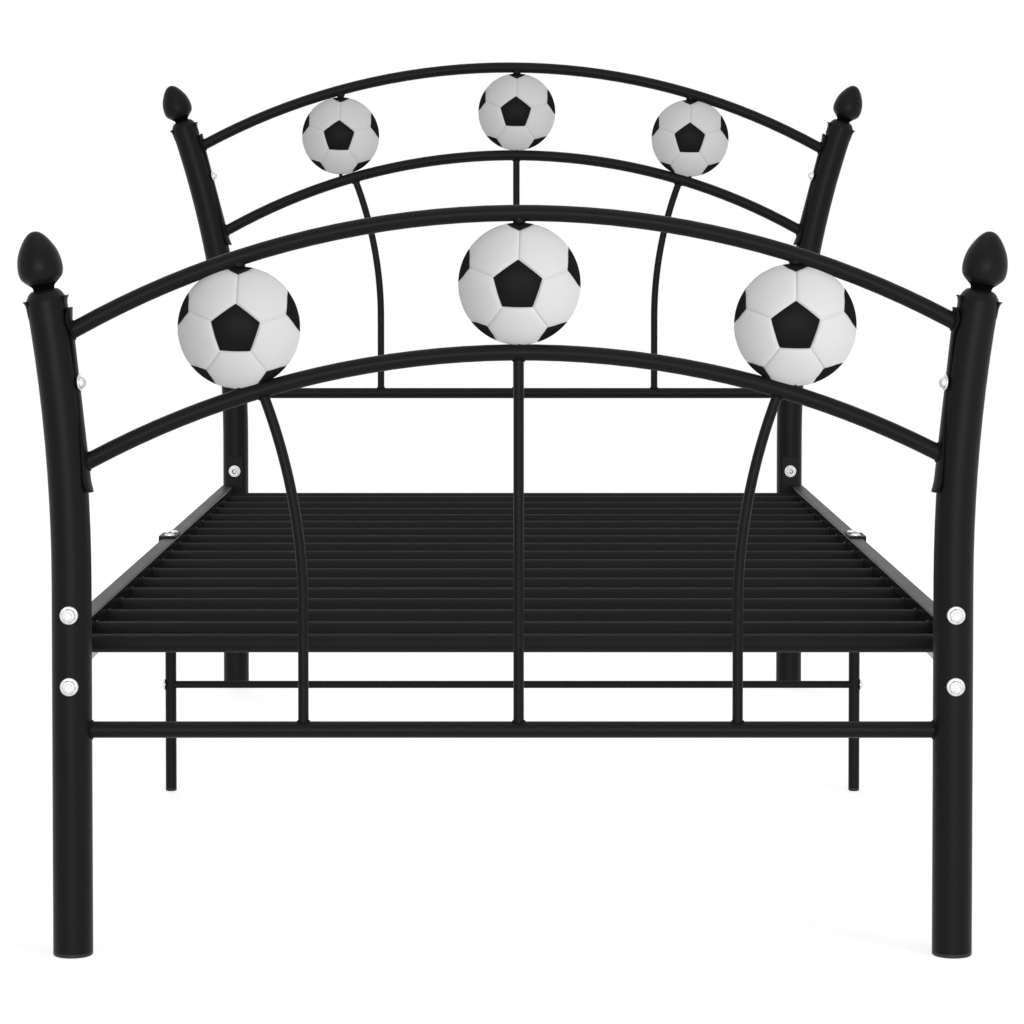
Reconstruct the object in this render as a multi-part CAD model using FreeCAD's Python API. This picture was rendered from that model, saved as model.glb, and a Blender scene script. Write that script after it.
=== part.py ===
"""Single bed frame for a child: black steel tube, with three footballs in each end panel.

Millimetres. +X is the right side seen from the foot, +Y runs from foot to head, +Z is up, and the
origin is on the floor under the middle of the bed. Every sub-part is its own closed solid and is
written to parts/NODE.step. Pieces that are alike and have one job share a node as separate solids.
"""
import FreeCAD, Part
import math
import os
from dataclasses import dataclass

V = FreeCAD.Vector

# Whole frame
POST_SPACING = 935.0      # between the middles of the two posts of one end
LENGTH = 2060.0           # between the middles of the foot posts and the head posts
JOINT_GAP = 0.05          # play between a pin and its hole
PLUG_GAP, PLUG_TAPER = 0.1, 0.5   # a plug's play inside its tube, and how much its tip narrows
BORE_REACH = 60.0         # how far a cutting bar reaches past the middle of a post

# Posts, upright below and bent outwards above
POST_D, POST_WALL = 42.3, 1.5
GLIDE_H, GLIDE_PLUG, GLIDE_EDGE = 4.0, 16.0, 1.2

# End panels: two arches, a cross bar, three spindles and three footballs
TUBE_D, TUBE_WALL = 17.5, 1.2
SPINDLE_D, SPINDLE_WALL = 11.2, 1.0
SPINDLE_X = (-222.0, 6.5, 239.0)
SPINDLE_STRAIGHT, SPINDLE_BEND_R = 128.3, 643.0
BALL_X = (-289.3, 7.3, 299.0)
BALL_DROP = (0.0, 1.0, 0.0)   # how far each hangs below halfway between the arches
BALL_R, BALL_RISE, BALL_WALL, BALL_RIM = 64.7, 28.0, 2.6, 2.0
HANGER_D = 6.0
HANGER_BOSS = (14.0, 10.0, 1.2)  # its diameter at the arch and at the ball, and the overlap there

# Saddles: straight troughs that hug the bent posts and carry the arches
SADDLE_T = 1.2
# The saddle's outline as seen square on: distance from its lower or upper end, and half width.
SADDLE_LOW_EDGE = ((0.0, 10.5), (1.2, 12.2), (3.0, 13.8), (5.5, 14.8), (10.0, 15.2), (20.0, 14.9),
                   (31.0, 14.3), (53.0, 12.8), (75.0, 10.8), (95.0, 9.5), (115.0, 9.1))
SADDLE_HIGH_EDGE = ((30.0, 9.1), (27.5, 9.4), (24.5, 10.3), (21.0, 11.9), (17.0, 13.2), (12.0, 13.8),
                    (6.0, 13.5), (3.0, 12.9), (1.2, 11.9), (0.0, 10.5))
SADDLE_FLARE = (12.0, 1.5)       # length and lift of the flare at each end
NAMES = ("left", "middle", "right")

# Finials and the leaf collars under them, as (distance along the post, radius)
COLLAR_DOME = ((0.0, 20.9), (3.7, 20.1), (7.6, 17.8), (10.6, 14.9), (11.4, 13.2))
BUD = ((16.0, 12.6), (20.5, 17.6), (25.5, 22.0), (33.0, 23.8), (43.5, 23.0), (54.0, 19.8),
       (64.7, 13.6), (71.0, 8.0), (74.2, 0.0))
NECK_R, NECK_CHAMFER = 11.5, 1.5
COLLAR_PLUG = 14.0
LEAF_ROOT_R = 20.0
LEAF_FACE = ((-16.0, 21.85), (-5.0, 22.0), (0.4, 23.5), (2.4, 25.2))
LEAF_EDGE = ((-16.0, 5.0), (-14.0, 8.6), (-6.0, 9.8), (2.4, 11.8))   # as (distance, half width)
STUD_D, STUD_SPAN = 8.0, (-10.0, 36.0)

# Side rails and slats
RAIL_W, RAIL_H, RAIL_WALL, RAIL_CORNER, RAIL_INNER_CORNER = 20.0, 50.0, 1.5, 2.5, 1.0
RAIL_X = 478.9            # middle of a rail
RAIL_TOP = 341.0
RAIL_SPLIT_Y = 102.0      # where the foot half meets the head half
RAIL_RELIEF = (18.0, 13.0)   # diameter and depth of the recess for the lower bolt's nut
END_PLATE = (25.0, 3.0, 264.0, 389.0)   # width, thickness, bottom and top
PLATE_CORNER = 4.0
SLAT_D, SLAT_WALL, SLAT_Z = 20.0, 1.2, 319.3
SLAT_COUNT, SLAT_INSET = 17, 104.5      # inset of the first and last from the posts' middle
FOOT_HALF_SLATS = 9
HEAD_END_TUBE_INSET = 38.0

# Middle legs and the spreader between them
LEG_D, LEG_WALL = 15.0, 1.2
LEG_X, LEG_Y = 469.3, -11.6
LEG_PLATE = (36.0, 34.0, 3.0)
LEG_GLIDE_H, LEG_GLIDE_PLUG = 4.0, 12.0
SPREADER_D, SPREADER_WALL, SPREADER_Z = 10.0, 2.4, 146.5
SPREADER_SET_IN = 12.0    # from the leg's far inner wall to the spreader's end

# Fasteners
BOLT_D, BOLT_HEAD_AF, BOLT_HEAD_H = 8.0, 13.0, 5.3
BOLT_Z = (289.0, 364.7)
WASHER_D, WASHER_T = 19.2, 1.6
OUTER_WASHER_T = 3.4      # at its thinnest; its back is hollowed to fit the round post
WRAP = 4.0                # how deep a hollowed washer may reach round its tube
NUT_H = 6.5
THREAD_PAST_NUT = 2.5     # how far a bolt's end shows past its nut
HOLE_PLAY = 0.25          # radial play of a bolt in a drilled hole
HEAD_OVERLAP = 0.5        # how far a shank is sunk into its own head, to make one solid
HEAD_CURVE = ((0.0, 1.0), (0.25, 1.0), (0.6, 0.86), (0.85, 0.62), (1.0, 0.36))  # a domed head
SCREW_D, SOCKET_DEPTH = 5.0, 1.8
SADDLE_HEAD = (12.4, 5.2, 4.0)   # diameter, height and socket of the heads on the saddles
SADDLE_FLANGE = (18.0, 1.5)      # diameter and thickness of the flange under them
SADDLE_SCREW_TURN = 8.0   # degrees by which they are turned from the bed's middle towards the foot
SADDLE_SCREW_REACH = 8.0  # how far they reach into the post
LEG_HEAD = (15.0, 4.0, 4.0)
LEG_SCREW_L = 16.0
STRAP = (24.0, 3.0, 57.0, 14.0, 32.0)   # width, thickness, length, tongue width, tongue length
STRAP_LIP = (4.0, 3.0, 5.5)   # overhang past the rail's outer side, lip thickness and fold
STRAP_FRONT = -44.0       # distance of the strap's foot end from the split
STRAP_BOLTS = (-34.0, 17.0)   # from the split: one bolt in each half of the rail
STRAP_BOLT_D, STRAP_HEAD_D, STRAP_HEAD_H = 6.0, 14.0, 3.2
STRAP_NUT_AF, STRAP_NUT_H, STRAP_THREAD = 10.0, 5.0, 3.0

POST_R = POST_D / 2
TUBE_R = TUBE_D / 2
SADDLE_R = POST_R + JOINT_GAP + SADDLE_T
HALF_SPACING = POST_SPACING / 2


@dataclass
class Arch:
    """A tube bent to one radius, standing in an end panel."""
    apex: float
    radius: float
    middle: float

    def height(self, x):
        return self.apex - self.radius + math.sqrt(self.radius ** 2 - (x - self.middle) ** 2)

    def centre(self, y):
        return V(self.middle, y, self.apex - self.radius)


@dataclass
class End:
    """The foot or the head of the bed. inward is +1 where the bed lies towards +Y."""
    name: str
    y: float
    inward: int
    bend_start: float
    bend_radius: float
    post_top: float
    bar_z: float
    upper: Arch
    lower: Arch
    saddle: tuple
    saddle_screw_z: float

    def top_angle(self):
        return math.asin((self.post_top - self.bend_start) / self.bend_radius)

    def post_offset(self, z):
        """How far outwards the post's middle line has bent at height z."""
        rise = max(0.0, z - self.bend_start)
        return self.bend_radius - math.sqrt(self.bend_radius ** 2 - rise ** 2)

    def post_axis(self, z):
        """A point on the left post's middle line, and the line's direction there."""
        tilt = math.asin(max(0.0, z - self.bend_start) / self.bend_radius)
        point = V(-HALF_SPACING - self.post_offset(z), self.y, z)
        return point, V(-math.sin(tilt), 0, math.cos(tilt))


FOOT = End("foot", -LENGTH / 2, 1, 396.0, 1765.0, 696.0, 240.5,
           Arch(788.7, 968.5, 9.6), Arch(641.3, 968.5, 9.6), (491.0, 687.0), 607.0)
HEAD = End("head", LENGTH / 2, -1, 420.0, 1640.0, 942.0, 495.0,
           Arch(1043.5, 1080.0, -5.7), Arch(896.0, 984.0, 1.5), (739.5, 926.5), 855.0)
ENDS = (FOOT, HEAD)


# ---- shapes that repeat

def rod(start, end, radius):
    """A solid round bar between two points."""
    run = end - start
    return Part.makeCylinder(radius, run.Length, start, run)


def pipe(start, end, diameter, wall):
    """A straight round tube between two points."""
    return rod(start, end, diameter / 2).cut(rod(start, end, diameter / 2 - wall))


def bent_rod(centre, bend_radius, first, last, radius):
    """A round bar bent in the XZ plane; the angles run from +X towards +Z, in radians."""
    start = centre + V(bend_radius * math.cos(first), 0, bend_radius * math.sin(first))
    along = V(-math.sin(first), 0, math.cos(first))
    disc = Part.Face(Part.Wire(Part.makeCircle(radius, start, along)))
    return disc.revolve(centre, V(0, -1, 0), math.degrees(last - first))


def bent_pipe(centre, bend_radius, first, last, diameter, wall):
    """A round tube bent in the XZ plane."""
    outer = bent_rod(centre, bend_radius, first, last, diameter / 2)
    return outer.cut(bent_rod(centre, bend_radius, first, last, diameter / 2 - wall))


def hexagon(centre, axis, across_flats, height):
    """A hexagonal prism that stands on centre and points along axis."""
    radius = across_flats / math.sqrt(3)
    corners = [V(radius * math.cos(i * math.pi / 3), radius * math.sin(i * math.pi / 3), 0)
               for i in range(7)]
    prism = Part.Face(Part.makePolygon(corners)).extrude(V(0, 0, height))
    return placed(prism, centre, axis)


def placed(shape, origin, axis):
    """The shape with its own +Z turned to axis and its own origin moved to origin."""
    moved = shape.copy()
    moved.Placement = FreeCAD.Placement(origin, FreeCAD.Rotation(V(0, 0, 1), axis))
    return moved


def mirrored(shape):
    """The same piece for the right side of the bed."""
    return shape.mirror(V(0, 0, 0), V(1, 0, 0))


def both_sides(shape):
    return [shape, mirrored(shape)]


def turned(points, close_on_axis=True):
    """A solid of revolution about Z through (height, radius) points, joined by straight lines."""
    corners = [V(radius, 0, height) for height, radius in points]
    if close_on_axis:
        corners = [V(0, 0, points[0][0])] + corners + [V(0, 0, points[-1][0])]
    loop = Part.makePolygon(corners + [corners[0]])
    return Part.Face(loop).revolve(V(0, 0, 0), V(0, 0, 1), 360)


def fused(shapes):
    return shapes[0].multiFuse(shapes[1:]).removeSplitter() if len(shapes) > 1 else shapes[0]


def export(name, shapes):
    """Writes one node, after testing that each of its solids is closed and sound."""
    shapes = shapes if isinstance(shapes, list) else [shapes]
    solids = [solid for shape in shapes for solid in shape.Solids]
    for solid in solids:
        assert solid.isValid() and solid.Volume > 1, name
    whole = solids[0] if len(solids) == 1 else Part.makeCompound(solids)
    whole.exportStep(f"parts/{name}.step")
    print(f"{name:26s} {len(solids):2d} solids {whole.Volume / 1000:9.2f} cm3")


# ---- posts, glides, collars and finials

def post_solid(end, radius, bottom=0.0):
    """The left post's outline as a solid bar of any radius, for making and for coping."""
    foot = V(-HALF_SPACING, end.y, bottom)
    knee = V(-HALF_SPACING, end.y, end.bend_start)
    centre = V(-HALF_SPACING - end.bend_radius, end.y, end.bend_start)
    bend = bent_rod(centre, end.bend_radius, 0.0, end.top_angle(), radius)
    return fused([rod(foot, knee, radius), bend])


def post(end):
    tube = post_solid(end, POST_R, GLIDE_H).cut(post_solid(end, POST_R - POST_WALL, GLIDE_H))
    for z in BOLT_Z:
        tube = tube.cut(across_post(end, z, BOLT_D / 2 + HOLE_PLAY))
    return tube.cut(saddle_shank(end, JOINT_GAP))


def across_post(end, z, radius, reach=BORE_REACH):
    """A bar along Y through the left post's middle at height z."""
    middle = V(-HALF_SPACING, end.y, z)
    return rod(middle - V(0, reach, 0), middle + V(0, reach, 0), radius)


def glide(x, y, outer_r, inner_r, height, plug):
    """A plastic foot: a rounded disc on the floor and a plug inside the tube."""
    disc = turned([(0, outer_r - GLIDE_EDGE), (GLIDE_EDGE, outer_r), (height, outer_r),
                   (height, inner_r), (height + plug, inner_r - PLUG_TAPER)])
    return placed(disc, V(x, y, 0), V(0, 0, 1))


def leaves():
    """Two leaves that hang from the collar, on the bed's side and on the outer side."""
    face = [(height, radius) for height, radius in LEAF_FACE]
    root = [(face[-1][0], LEAF_ROOT_R), (face[0][0], LEAF_ROOT_R)]
    ring = turned(face + root, close_on_axis=False)
    edge = [V(0, half, height) for height, half in LEAF_EDGE]
    edge += [V(0, -half, height) for height, half in reversed(LEAF_EDGE)]
    outline = Part.Face(Part.makePolygon(edge + [edge[0]])).extrude(V(2 * LEAF_ROOT_R, 0, 0))
    leaf = ring.common(outline)
    return [leaf, mirrored(leaf)]


def collar(end):
    """The cap on a post: a plug inside the tube, a dome over its end and the two leaves."""
    origin, axis = end.post_axis(end.post_top)
    plug_r = POST_R - POST_WALL - PLUG_GAP
    cap = turned([(-COLLAR_PLUG, plug_r - PLUG_TAPER), (0, plug_r)] + list(COLLAR_DOME))
    bore = rod(V(0, 0, -COLLAR_PLUG - 1), V(0, 0, COLLAR_DOME[-1][0] + 1), STUD_D / 2)
    tube = post_solid(end, POST_R)
    hung = [placed(leaf, origin, axis).cut(tube) for leaf in leaves()]
    return fused([placed(cap.cut(bore), origin, axis)] + hung)


def finial(end):
    curve = Part.BSplineCurve()
    curve.interpolate([V(radius, 0, height) for height, radius in BUD])
    neck_bottom, neck_top = COLLAR_DOME[-1][0], BUD[0][0]
    neck = [V(0, 0, neck_bottom), V(NECK_R, 0, neck_bottom), V(NECK_R, 0, neck_top - NECK_CHAMFER),
            V(BUD[0][1], 0, neck_top)]
    tip = V(0, 0, BUD[-1][0])
    outline = Part.Wire(Part.makePolygon(neck).Edges + [curve.toShape(), Part.makeLine(tip, neck[0])])
    body = Part.Face(outline).revolve(V(0, 0, 0), V(0, 0, 1), 360)
    bore = rod(V(0, 0, 0), V(0, 0, STUD_SPAN[1] + 1), STUD_D / 2)
    origin, axis = end.post_axis(end.post_top)
    return placed(body.cut(bore), origin, axis)


def finial_stud(end):
    origin, axis = end.post_axis(end.post_top)
    return placed(rod(V(0, 0, STUD_SPAN[0]), V(0, 0, STUD_SPAN[1]), STUD_D / 2 - JOINT_GAP),
                  origin, axis)


# ---- saddles

def saddle_frame(end):
    """The middle of the left saddle, the line it runs along and half its length."""
    low, high = end.saddle
    middle, along = end.post_axis((low + high) / 2)
    return middle, along, (high - low) / 2 / along.z


def saddle_body(end, radius):
    """A solid of revolution along the saddle, of this radius between its two flares."""
    middle, along, half = saddle_frame(end)
    length, lift = SADDLE_FLARE
    outline = [(-half, radius + lift), (-half + length, radius),
               (half - length, radius), (half, radius + lift)]
    return placed(turned(outline), middle, along)


def saddle_outline(half):
    """A thick slab with the saddle's outline: broad where the arches land, narrow in between."""
    points = [V(0, -width, run - half) for run, width in SADDLE_LOW_EDGE]
    points += [V(0, -width, half - run) for run, width in SADDLE_HIGH_EDGE]
    curve = Part.BSplineCurve()
    curve.interpolate(points)
    front = curve.toShape()
    back = front.mirror(V(0, 0, 0), V(0, 1, 0))
    ends = [Part.makeLine(point, V(0, -point.y, point.z)) for point in (points[0], points[-1])]
    outline = Part.Wire(Part.sortEdges([front, back, *ends])[0])
    return Part.Face(outline).extrude(V(2 * POST_D, 0, 0))


def saddle(end):
    """The straight trough that touches the bent post at its middle and carries both arches."""
    middle, along, half = saddle_frame(end)
    trough = saddle_body(end, SADDLE_R).cut(saddle_body(end, SADDLE_R - SADDLE_T))
    outline = placed(saddle_outline(half), middle, along)
    return trough.common(outline).cut(saddle_shank(end, JOINT_GAP))


def saddle_screw_line(end):
    """Where a saddle screw's line starts, on the saddle's own middle line, and its direction."""
    middle, along, _ = saddle_frame(end)
    start = middle + along * ((end.saddle_screw_z - middle.z) / along.z)
    turn = math.radians(SADDLE_SCREW_TURN)
    return start, V(along.z, 0, -along.x) * math.cos(turn) - V(0, math.sin(turn), 0)


def saddle_shank(end, play=0.0):
    start, way = saddle_screw_line(end)
    tip, seat = POST_R - SADDLE_SCREW_REACH, SADDLE_R + SADDLE_FLANGE[1]
    return rod(start + way * tip, start + way * seat, SCREW_D / 2 + play)


def saddle_screw(end):
    """The flanged screw through a saddle into the post."""
    start, way = saddle_screw_line(end)
    diameter, thickness = SADDLE_FLANGE
    seat = start + way * (SADDLE_R + thickness)
    flange = rod(start + way * SADDLE_R, seat, diameter / 2)
    return fused([saddle_shank(end), flange, screw_head(seat, way, *SADDLE_HEAD)])


def domed_head(diameter, height):
    return turned([(up * height, out * diameter / 2) for up, out in HEAD_CURVE])


def screw_head(seat, axis, diameter, height, socket):
    """A domed head with a hexagon socket, standing on seat."""
    key = hexagon(V(0, 0, height - SOCKET_DEPTH), V(0, 0, 1), socket, 2 * SOCKET_DEPTH)
    return placed(domed_head(diameter, height).cut(key), seat, axis)


# ---- arches, cross bars, spindles and footballs

def arch_angle(end, arch, side):
    """The arch's angle, from +X towards +Z, where it meets the middle line of a post."""
    x = side * HALF_SPACING
    for _ in range(12):
        x = side * (HALF_SPACING + end.post_offset(arch.height(x)))
    return math.atan2(arch.height(x) - arch.apex + arch.radius, x - arch.middle)


def arch_solid(end, arch, radius):
    return bent_rod(arch.centre(end.y), arch.radius, arch_angle(end, arch, 1),
                    arch_angle(end, arch, -1), radius)


def arch_tube(end, arch):
    """The arch's tube, its ends shaped to stand on the saddles."""
    tube = arch_solid(end, arch, TUBE_R).cut(arch_solid(end, arch, TUBE_R - TUBE_WALL))
    for keep_out in both_sides(saddle_body(end, SADDLE_R)):
        tube = tube.cut(keep_out)
    return tube


def cross_bar(end):
    bar = pipe(V(-HALF_SPACING, end.y, end.bar_z), V(HALF_SPACING, end.y, end.bar_z), TUBE_D, TUBE_WALL)
    for keep_out in both_sides(post_solid(end, POST_R)):
        bar = bar.cut(keep_out)
    return bar


def spindle(end, x, bend):
    """A spindle from the cross bar to the lower arch. bend is -1, 0 or +1: where its top leans."""
    bottom, knee = V(x, end.y, end.bar_z), V(x, end.y, end.bar_z + SPINDLE_STRAIGHT)
    if bend == 0:
        top = V(x, end.y, end.lower.height(x))
        tube = pipe(bottom, top, SPINDLE_D, SPINDLE_WALL)
    else:
        centre = knee + V(bend * SPINDLE_BEND_R, 0, 0)
        first = math.pi if bend > 0 else 0.0
        reach = 0.0
        for _ in range(40):
            lean = x + bend * SPINDLE_BEND_R * (1 - math.cos(reach))
            reach = math.asin((end.lower.height(lean) - knee.z) / SPINDLE_BEND_R)
        last = first - bend * reach
        tube = fused([pipe(bottom, knee, SPINDLE_D, SPINDLE_WALL),
                      bent_pipe(centre, SPINDLE_BEND_R, first, last, SPINDLE_D, SPINDLE_WALL)])
    bar = rod(V(-HALF_SPACING, end.y, end.bar_z), V(HALF_SPACING, end.y, end.bar_z), TUBE_R)
    return tube.cut(bar).cut(arch_solid(end, end.lower, TUBE_R))


def ball_middle(end, i):
    """The middle of a football, halfway between the two arches or a little lower."""
    x = BALL_X[i]
    return V(x, end.y, (end.upper.height(x) + end.lower.height(x)) / 2 - BALL_DROP[i])


def hanger_solid(end, i, play=0.0):
    """A pin between the arches' middle lines, with a tapered boss down to the football's top."""
    arch_d, ball_d, overlap = HANGER_BOSS
    middle = ball_middle(end, i)
    low, high = end.lower.height(middle.x), end.upper.height(middle.x)
    ball_top = middle.z + BALL_R
    boss = turned([(ball_top - overlap - play, ball_d / 2 + play),
                   (high - TUBE_R, arch_d / 2 + play), (high, arch_d / 2 + play)])
    boss.translate(V(middle.x, middle.y, 0))
    pin = rod(V(middle.x, middle.y, low), V(middle.x, middle.y, high), HANGER_D / 2 + play)
    return fused([pin, boss])


def hanger(end, i):
    """The pin through a football, welded to both arches."""
    pin = hanger_solid(end, i)
    return pin.cut(arch_solid(end, end.lower, TUBE_R)).cut(arch_solid(end, end.upper, TUBE_R))


def dome(rise, rim_r, rim):
    """A cap of a sphere that stands on a short rim, pointing along Z."""
    sphere_r = (rim_r ** 2 + rise ** 2) / (2 * rise)
    ball = Part.makeSphere(sphere_r, V(0, 0, rim + rise - sphere_r), V(0, 0, 1), -90, 90, 360)
    above = Part.makeBox(4 * rim_r, 4 * rim_r, 2 * rise, V(-2 * rim_r, -2 * rim_r, rim))
    return fused([ball.common(above), Part.makeCylinder(rim_r, rim)])


def ball_shell(end, i, facing):
    """Half of a football: a hollow moulded shell, open towards the other half."""
    shell = dome(BALL_RISE, BALL_R, BALL_RIM)
    hollow = dome(BALL_RISE - BALL_WALL, BALL_R - BALL_WALL, BALL_RIM)
    shell = placed(shell.cut(hollow), ball_middle(end, i), V(0, facing, 0))
    shell = shell.cut(hanger_solid(end, i, JOINT_GAP))
    for arch in (end.lower, end.upper):
        shell = shell.cut(arch_solid(end, arch, TUBE_R + JOINT_GAP))
    return shell


# ---- rails, slats and the splice

def rounded_bar(width, height, corner, start, length):
    """A bar of rounded rectangular section along Y, with start at the middle of its near end."""
    block = Part.makeBox(width, length, height, start - V(width / 2, 0, height / 2))
    along = [edge for edge in block.Edges if abs(edge.tangentAt(0).y) > 0.9]
    return block.makeFillet(corner, along)


def plate_face(end):
    """Y of the face that an end plate turns to the rail."""
    return end.y + end.inward * (POST_R + END_PLATE[1])


def rail_height():
    return RAIL_TOP - RAIL_H / 2


def rail(end):
    ends = sorted((plate_face(end), RAIL_SPLIT_Y))
    start, length = V(-RAIL_X, ends[0], rail_height()), ends[1] - ends[0]
    tube = rounded_bar(RAIL_W, RAIL_H, RAIL_CORNER, start, length)
    tube = tube.cut(rounded_bar(RAIL_W - 2 * RAIL_WALL, RAIL_H - 2 * RAIL_WALL, RAIL_INNER_CORNER,
                                start, length))
    relief_d, relief_depth = RAIL_RELIEF
    tube = tube.cut(across_post(end, BOLT_Z[0], relief_d / 2, POST_R + END_PLATE[1] + relief_depth))
    for y in strap_bolts():
        tube = tube.cut(strap_hole(y))
    return tube


def end_plate(end):
    width, thickness, low, high = END_PLATE
    near = min(plate_face(end), end.y + end.inward * POST_R)
    plate = Part.makeBox(width, thickness, high - low, V(-HALF_SPACING - width / 2, near, low))
    corners = [edge for edge in plate.Edges if abs(edge.tangentAt(0).y) > 0.9]
    plate = plate.makeFillet(PLATE_CORNER, corners)
    for z in BOLT_Z:
        plate = plate.cut(across_post(end, z, BOLT_D / 2 + HOLE_PLAY))
    return plate


def slat(y, z=SLAT_Z):
    reach = RAIL_X - RAIL_W / 2
    return pipe(V(-reach, y, z), V(reach, y, z), SLAT_D, SLAT_WALL)


def slat_rows():
    first = -LENGTH / 2 + SLAT_INSET
    pitch = (LENGTH - 2 * SLAT_INSET) / (SLAT_COUNT - 1)
    return [first + pitch * i for i in range(SLAT_COUNT)]


def strap_bolts():
    return [RAIL_SPLIT_Y + step for step in STRAP_BOLTS]


def strap_hole(y):
    """A bar through the strap and the rail, for cutting the hole of a strap bolt."""
    low, high = V(-RAIL_X, y, RAIL_TOP - RAIL_H - 1), V(-RAIL_X, y, RAIL_TOP + STRAP[1] + 1)
    return rod(low, high, STRAP_BOLT_D / 2 + JOINT_GAP)


def splice_strap():
    """A strap on top of the rail: a wide part folded over its outer edge, then a round-ended tongue."""
    width, thickness, length, tongue_w, tongue_l = STRAP
    overhang, lip_t, fold = STRAP_LIP
    front = RAIL_SPLIT_Y + STRAP_FRONT
    outer = -RAIL_X - RAIL_W / 2 - overhang
    tongue_r = tongue_w / 2
    straight = tongue_l - tongue_r
    wide = Part.makeBox(width, length, thickness, V(outer, front, RAIL_TOP))
    lip = Part.makeBox(lip_t, length, thickness + fold, V(outer, front, RAIL_TOP - fold))
    tongue = Part.makeBox(tongue_w, straight, thickness, V(-RAIL_X - tongue_r, front + length, RAIL_TOP))
    tip = Part.makeCylinder(tongue_r, thickness, V(-RAIL_X, front + length + straight, RAIL_TOP))
    strap = fused([wide, lip, tongue, tip])
    for y in strap_bolts():
        strap = strap.cut(strap_hole(y))
    return strap


def strap_bolt(y):
    """A domed bolt down through the strap and the rail."""
    top = RAIL_TOP + STRAP[1]
    head = placed(domed_head(STRAP_HEAD_D, STRAP_HEAD_H), V(-RAIL_X, y, top), V(0, 0, 1))
    low = RAIL_TOP - RAIL_H - STRAP_NUT_H - STRAP_THREAD
    shank = rod(V(-RAIL_X, y, low), V(-RAIL_X, y, top + HEAD_OVERLAP), STRAP_BOLT_D / 2)
    return fused([head, shank])


def strap_nut(y):
    seat = V(-RAIL_X, y, RAIL_TOP - RAIL_H - STRAP_NUT_H)
    nut = hexagon(seat, V(0, 0, 1), STRAP_NUT_AF, STRAP_NUT_H)
    past = V(0, 0, 1)
    return nut.cut(rod(seat - past, seat + past * (STRAP_NUT_H + 1), STRAP_BOLT_D / 2 + JOINT_GAP))


# ---- middle legs

def leg_plate():
    width, depth, thickness = LEG_PLATE
    top = RAIL_TOP - RAIL_H
    plate = Part.makeBox(width, depth, thickness,
                         V(-RAIL_X - RAIL_W / 2, LEG_Y - depth / 2, top - thickness))
    return plate.makeFillet(PLATE_CORNER, [e for e in plate.Edges if abs(e.tangentAt(0).z) > 0.9])


def middle_leg():
    top = RAIL_TOP - RAIL_H - LEG_PLATE[2]
    leg = pipe(V(-LEG_X, LEG_Y, LEG_GLIDE_H), V(-LEG_X, LEG_Y, top), LEG_D, LEG_WALL)
    middle, reach = V(-LEG_X, LEG_Y, SPREADER_Z), V(LEG_D, 0, 0)
    shank = rod(middle - reach, middle, SCREW_D / 2 + JOINT_GAP)
    bore = rod(middle, middle + reach, SPREADER_D / 2 + JOINT_GAP)
    return leg.cut(shank).cut(bore)


def spreader():
    reach = LEG_X + LEG_D / 2 - LEG_WALL - SPREADER_SET_IN
    return pipe(V(-reach, LEG_Y, SPREADER_Z), V(reach, LEG_Y, SPREADER_Z), SPREADER_D, SPREADER_WALL)


def leg_screw():
    seat = V(-LEG_X - LEG_D / 2, LEG_Y, SPREADER_Z)
    shank = rod(seat, seat + V(LEG_SCREW_L, 0, 0), SCREW_D / 2)
    return fused([screw_head(seat, V(-1, 0, 0), *LEG_HEAD), shank])


# ---- rail bolts

def rail_bolt(end, z):
    """A hexagon bolt from outside, through post and end plate; its threads end past the nut."""
    outward = V(0, -end.inward, 0)
    seat = V(-HALF_SPACING, end.y, z) + outward * (POST_R + OUTER_WASHER_T)
    grip = OUTER_WASHER_T + 2 * POST_R + END_PLATE[1]
    length = grip + WASHER_T + NUT_H + THREAD_PAST_NUT
    return fused([hexagon(seat, outward, BOLT_HEAD_AF, BOLT_HEAD_H),
                  rod(seat - outward * length, seat + outward * HEAD_OVERLAP, BOLT_D / 2)])


def outer_washer(end, z):
    """A thick washer whose back is hollowed to sit on the round post."""
    outward = V(0, -end.inward, 0)
    middle = V(-HALF_SPACING, end.y, z)
    disc = rod(middle + outward * (POST_R - WRAP), middle + outward * (POST_R + OUTER_WASHER_T),
               WASHER_D / 2)
    post_bar = rod(middle - V(0, 0, WASHER_D), middle + V(0, 0, WASHER_D), POST_R)
    return disc.cut(post_bar).cut(across_post(end, z, BOLT_D / 2 + HOLE_PLAY))


def inner_stack(end, z, with_washer):
    """Washer and nut on the end plate. The lower nut has no washer, as the rail leaves no room."""
    inward = V(0, end.inward, 0)
    seat = V(-HALF_SPACING, plate_face(end), z)
    bore = across_post(end, z, BOLT_D / 2 + HOLE_PLAY)
    washer = []
    if with_washer:
        washer = [rod(seat, seat + inward * WASHER_T, WASHER_D / 2).cut(bore)]
        seat = seat + inward * WASHER_T
    nut = hexagon(seat, inward, BOLT_HEAD_AF, NUT_H)
    nut = nut.cut(across_post(end, z, BOLT_D / 2 + JOINT_GAP))
    return washer, nut


def build_ends():
    for end in ENDS:
        for side, finish in (("left", lambda s: s), ("right", mirrored)):
            export(f"{end.name}_post_{side}", finish(post(end)))
            export(f"{end.name}_collar_{side}", finish(collar(end)))
            export(f"{end.name}_finial_{side}", finish(finial(end)))
            export(f"{end.name}_saddle_{side}", finish(saddle(end)))
        export(f"{end.name}_upper_arch", arch_tube(end, end.upper))
        export(f"{end.name}_lower_arch", arch_tube(end, end.lower))
        export(f"{end.name}_cross_bar", cross_bar(end))
        for name, x, bend in zip(NAMES, SPINDLE_X, (-1, 0, 1)):
            export(f"{end.name}_spindle_{name}", spindle(end, x, bend))
        for i, name in enumerate(NAMES):
            export(f"{end.name}_ball_front_{name}", ball_shell(end, i, -1))
        export(f"{end.name}_ball_backs", [ball_shell(end, i, 1) for i in range(len(NAMES))])


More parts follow.
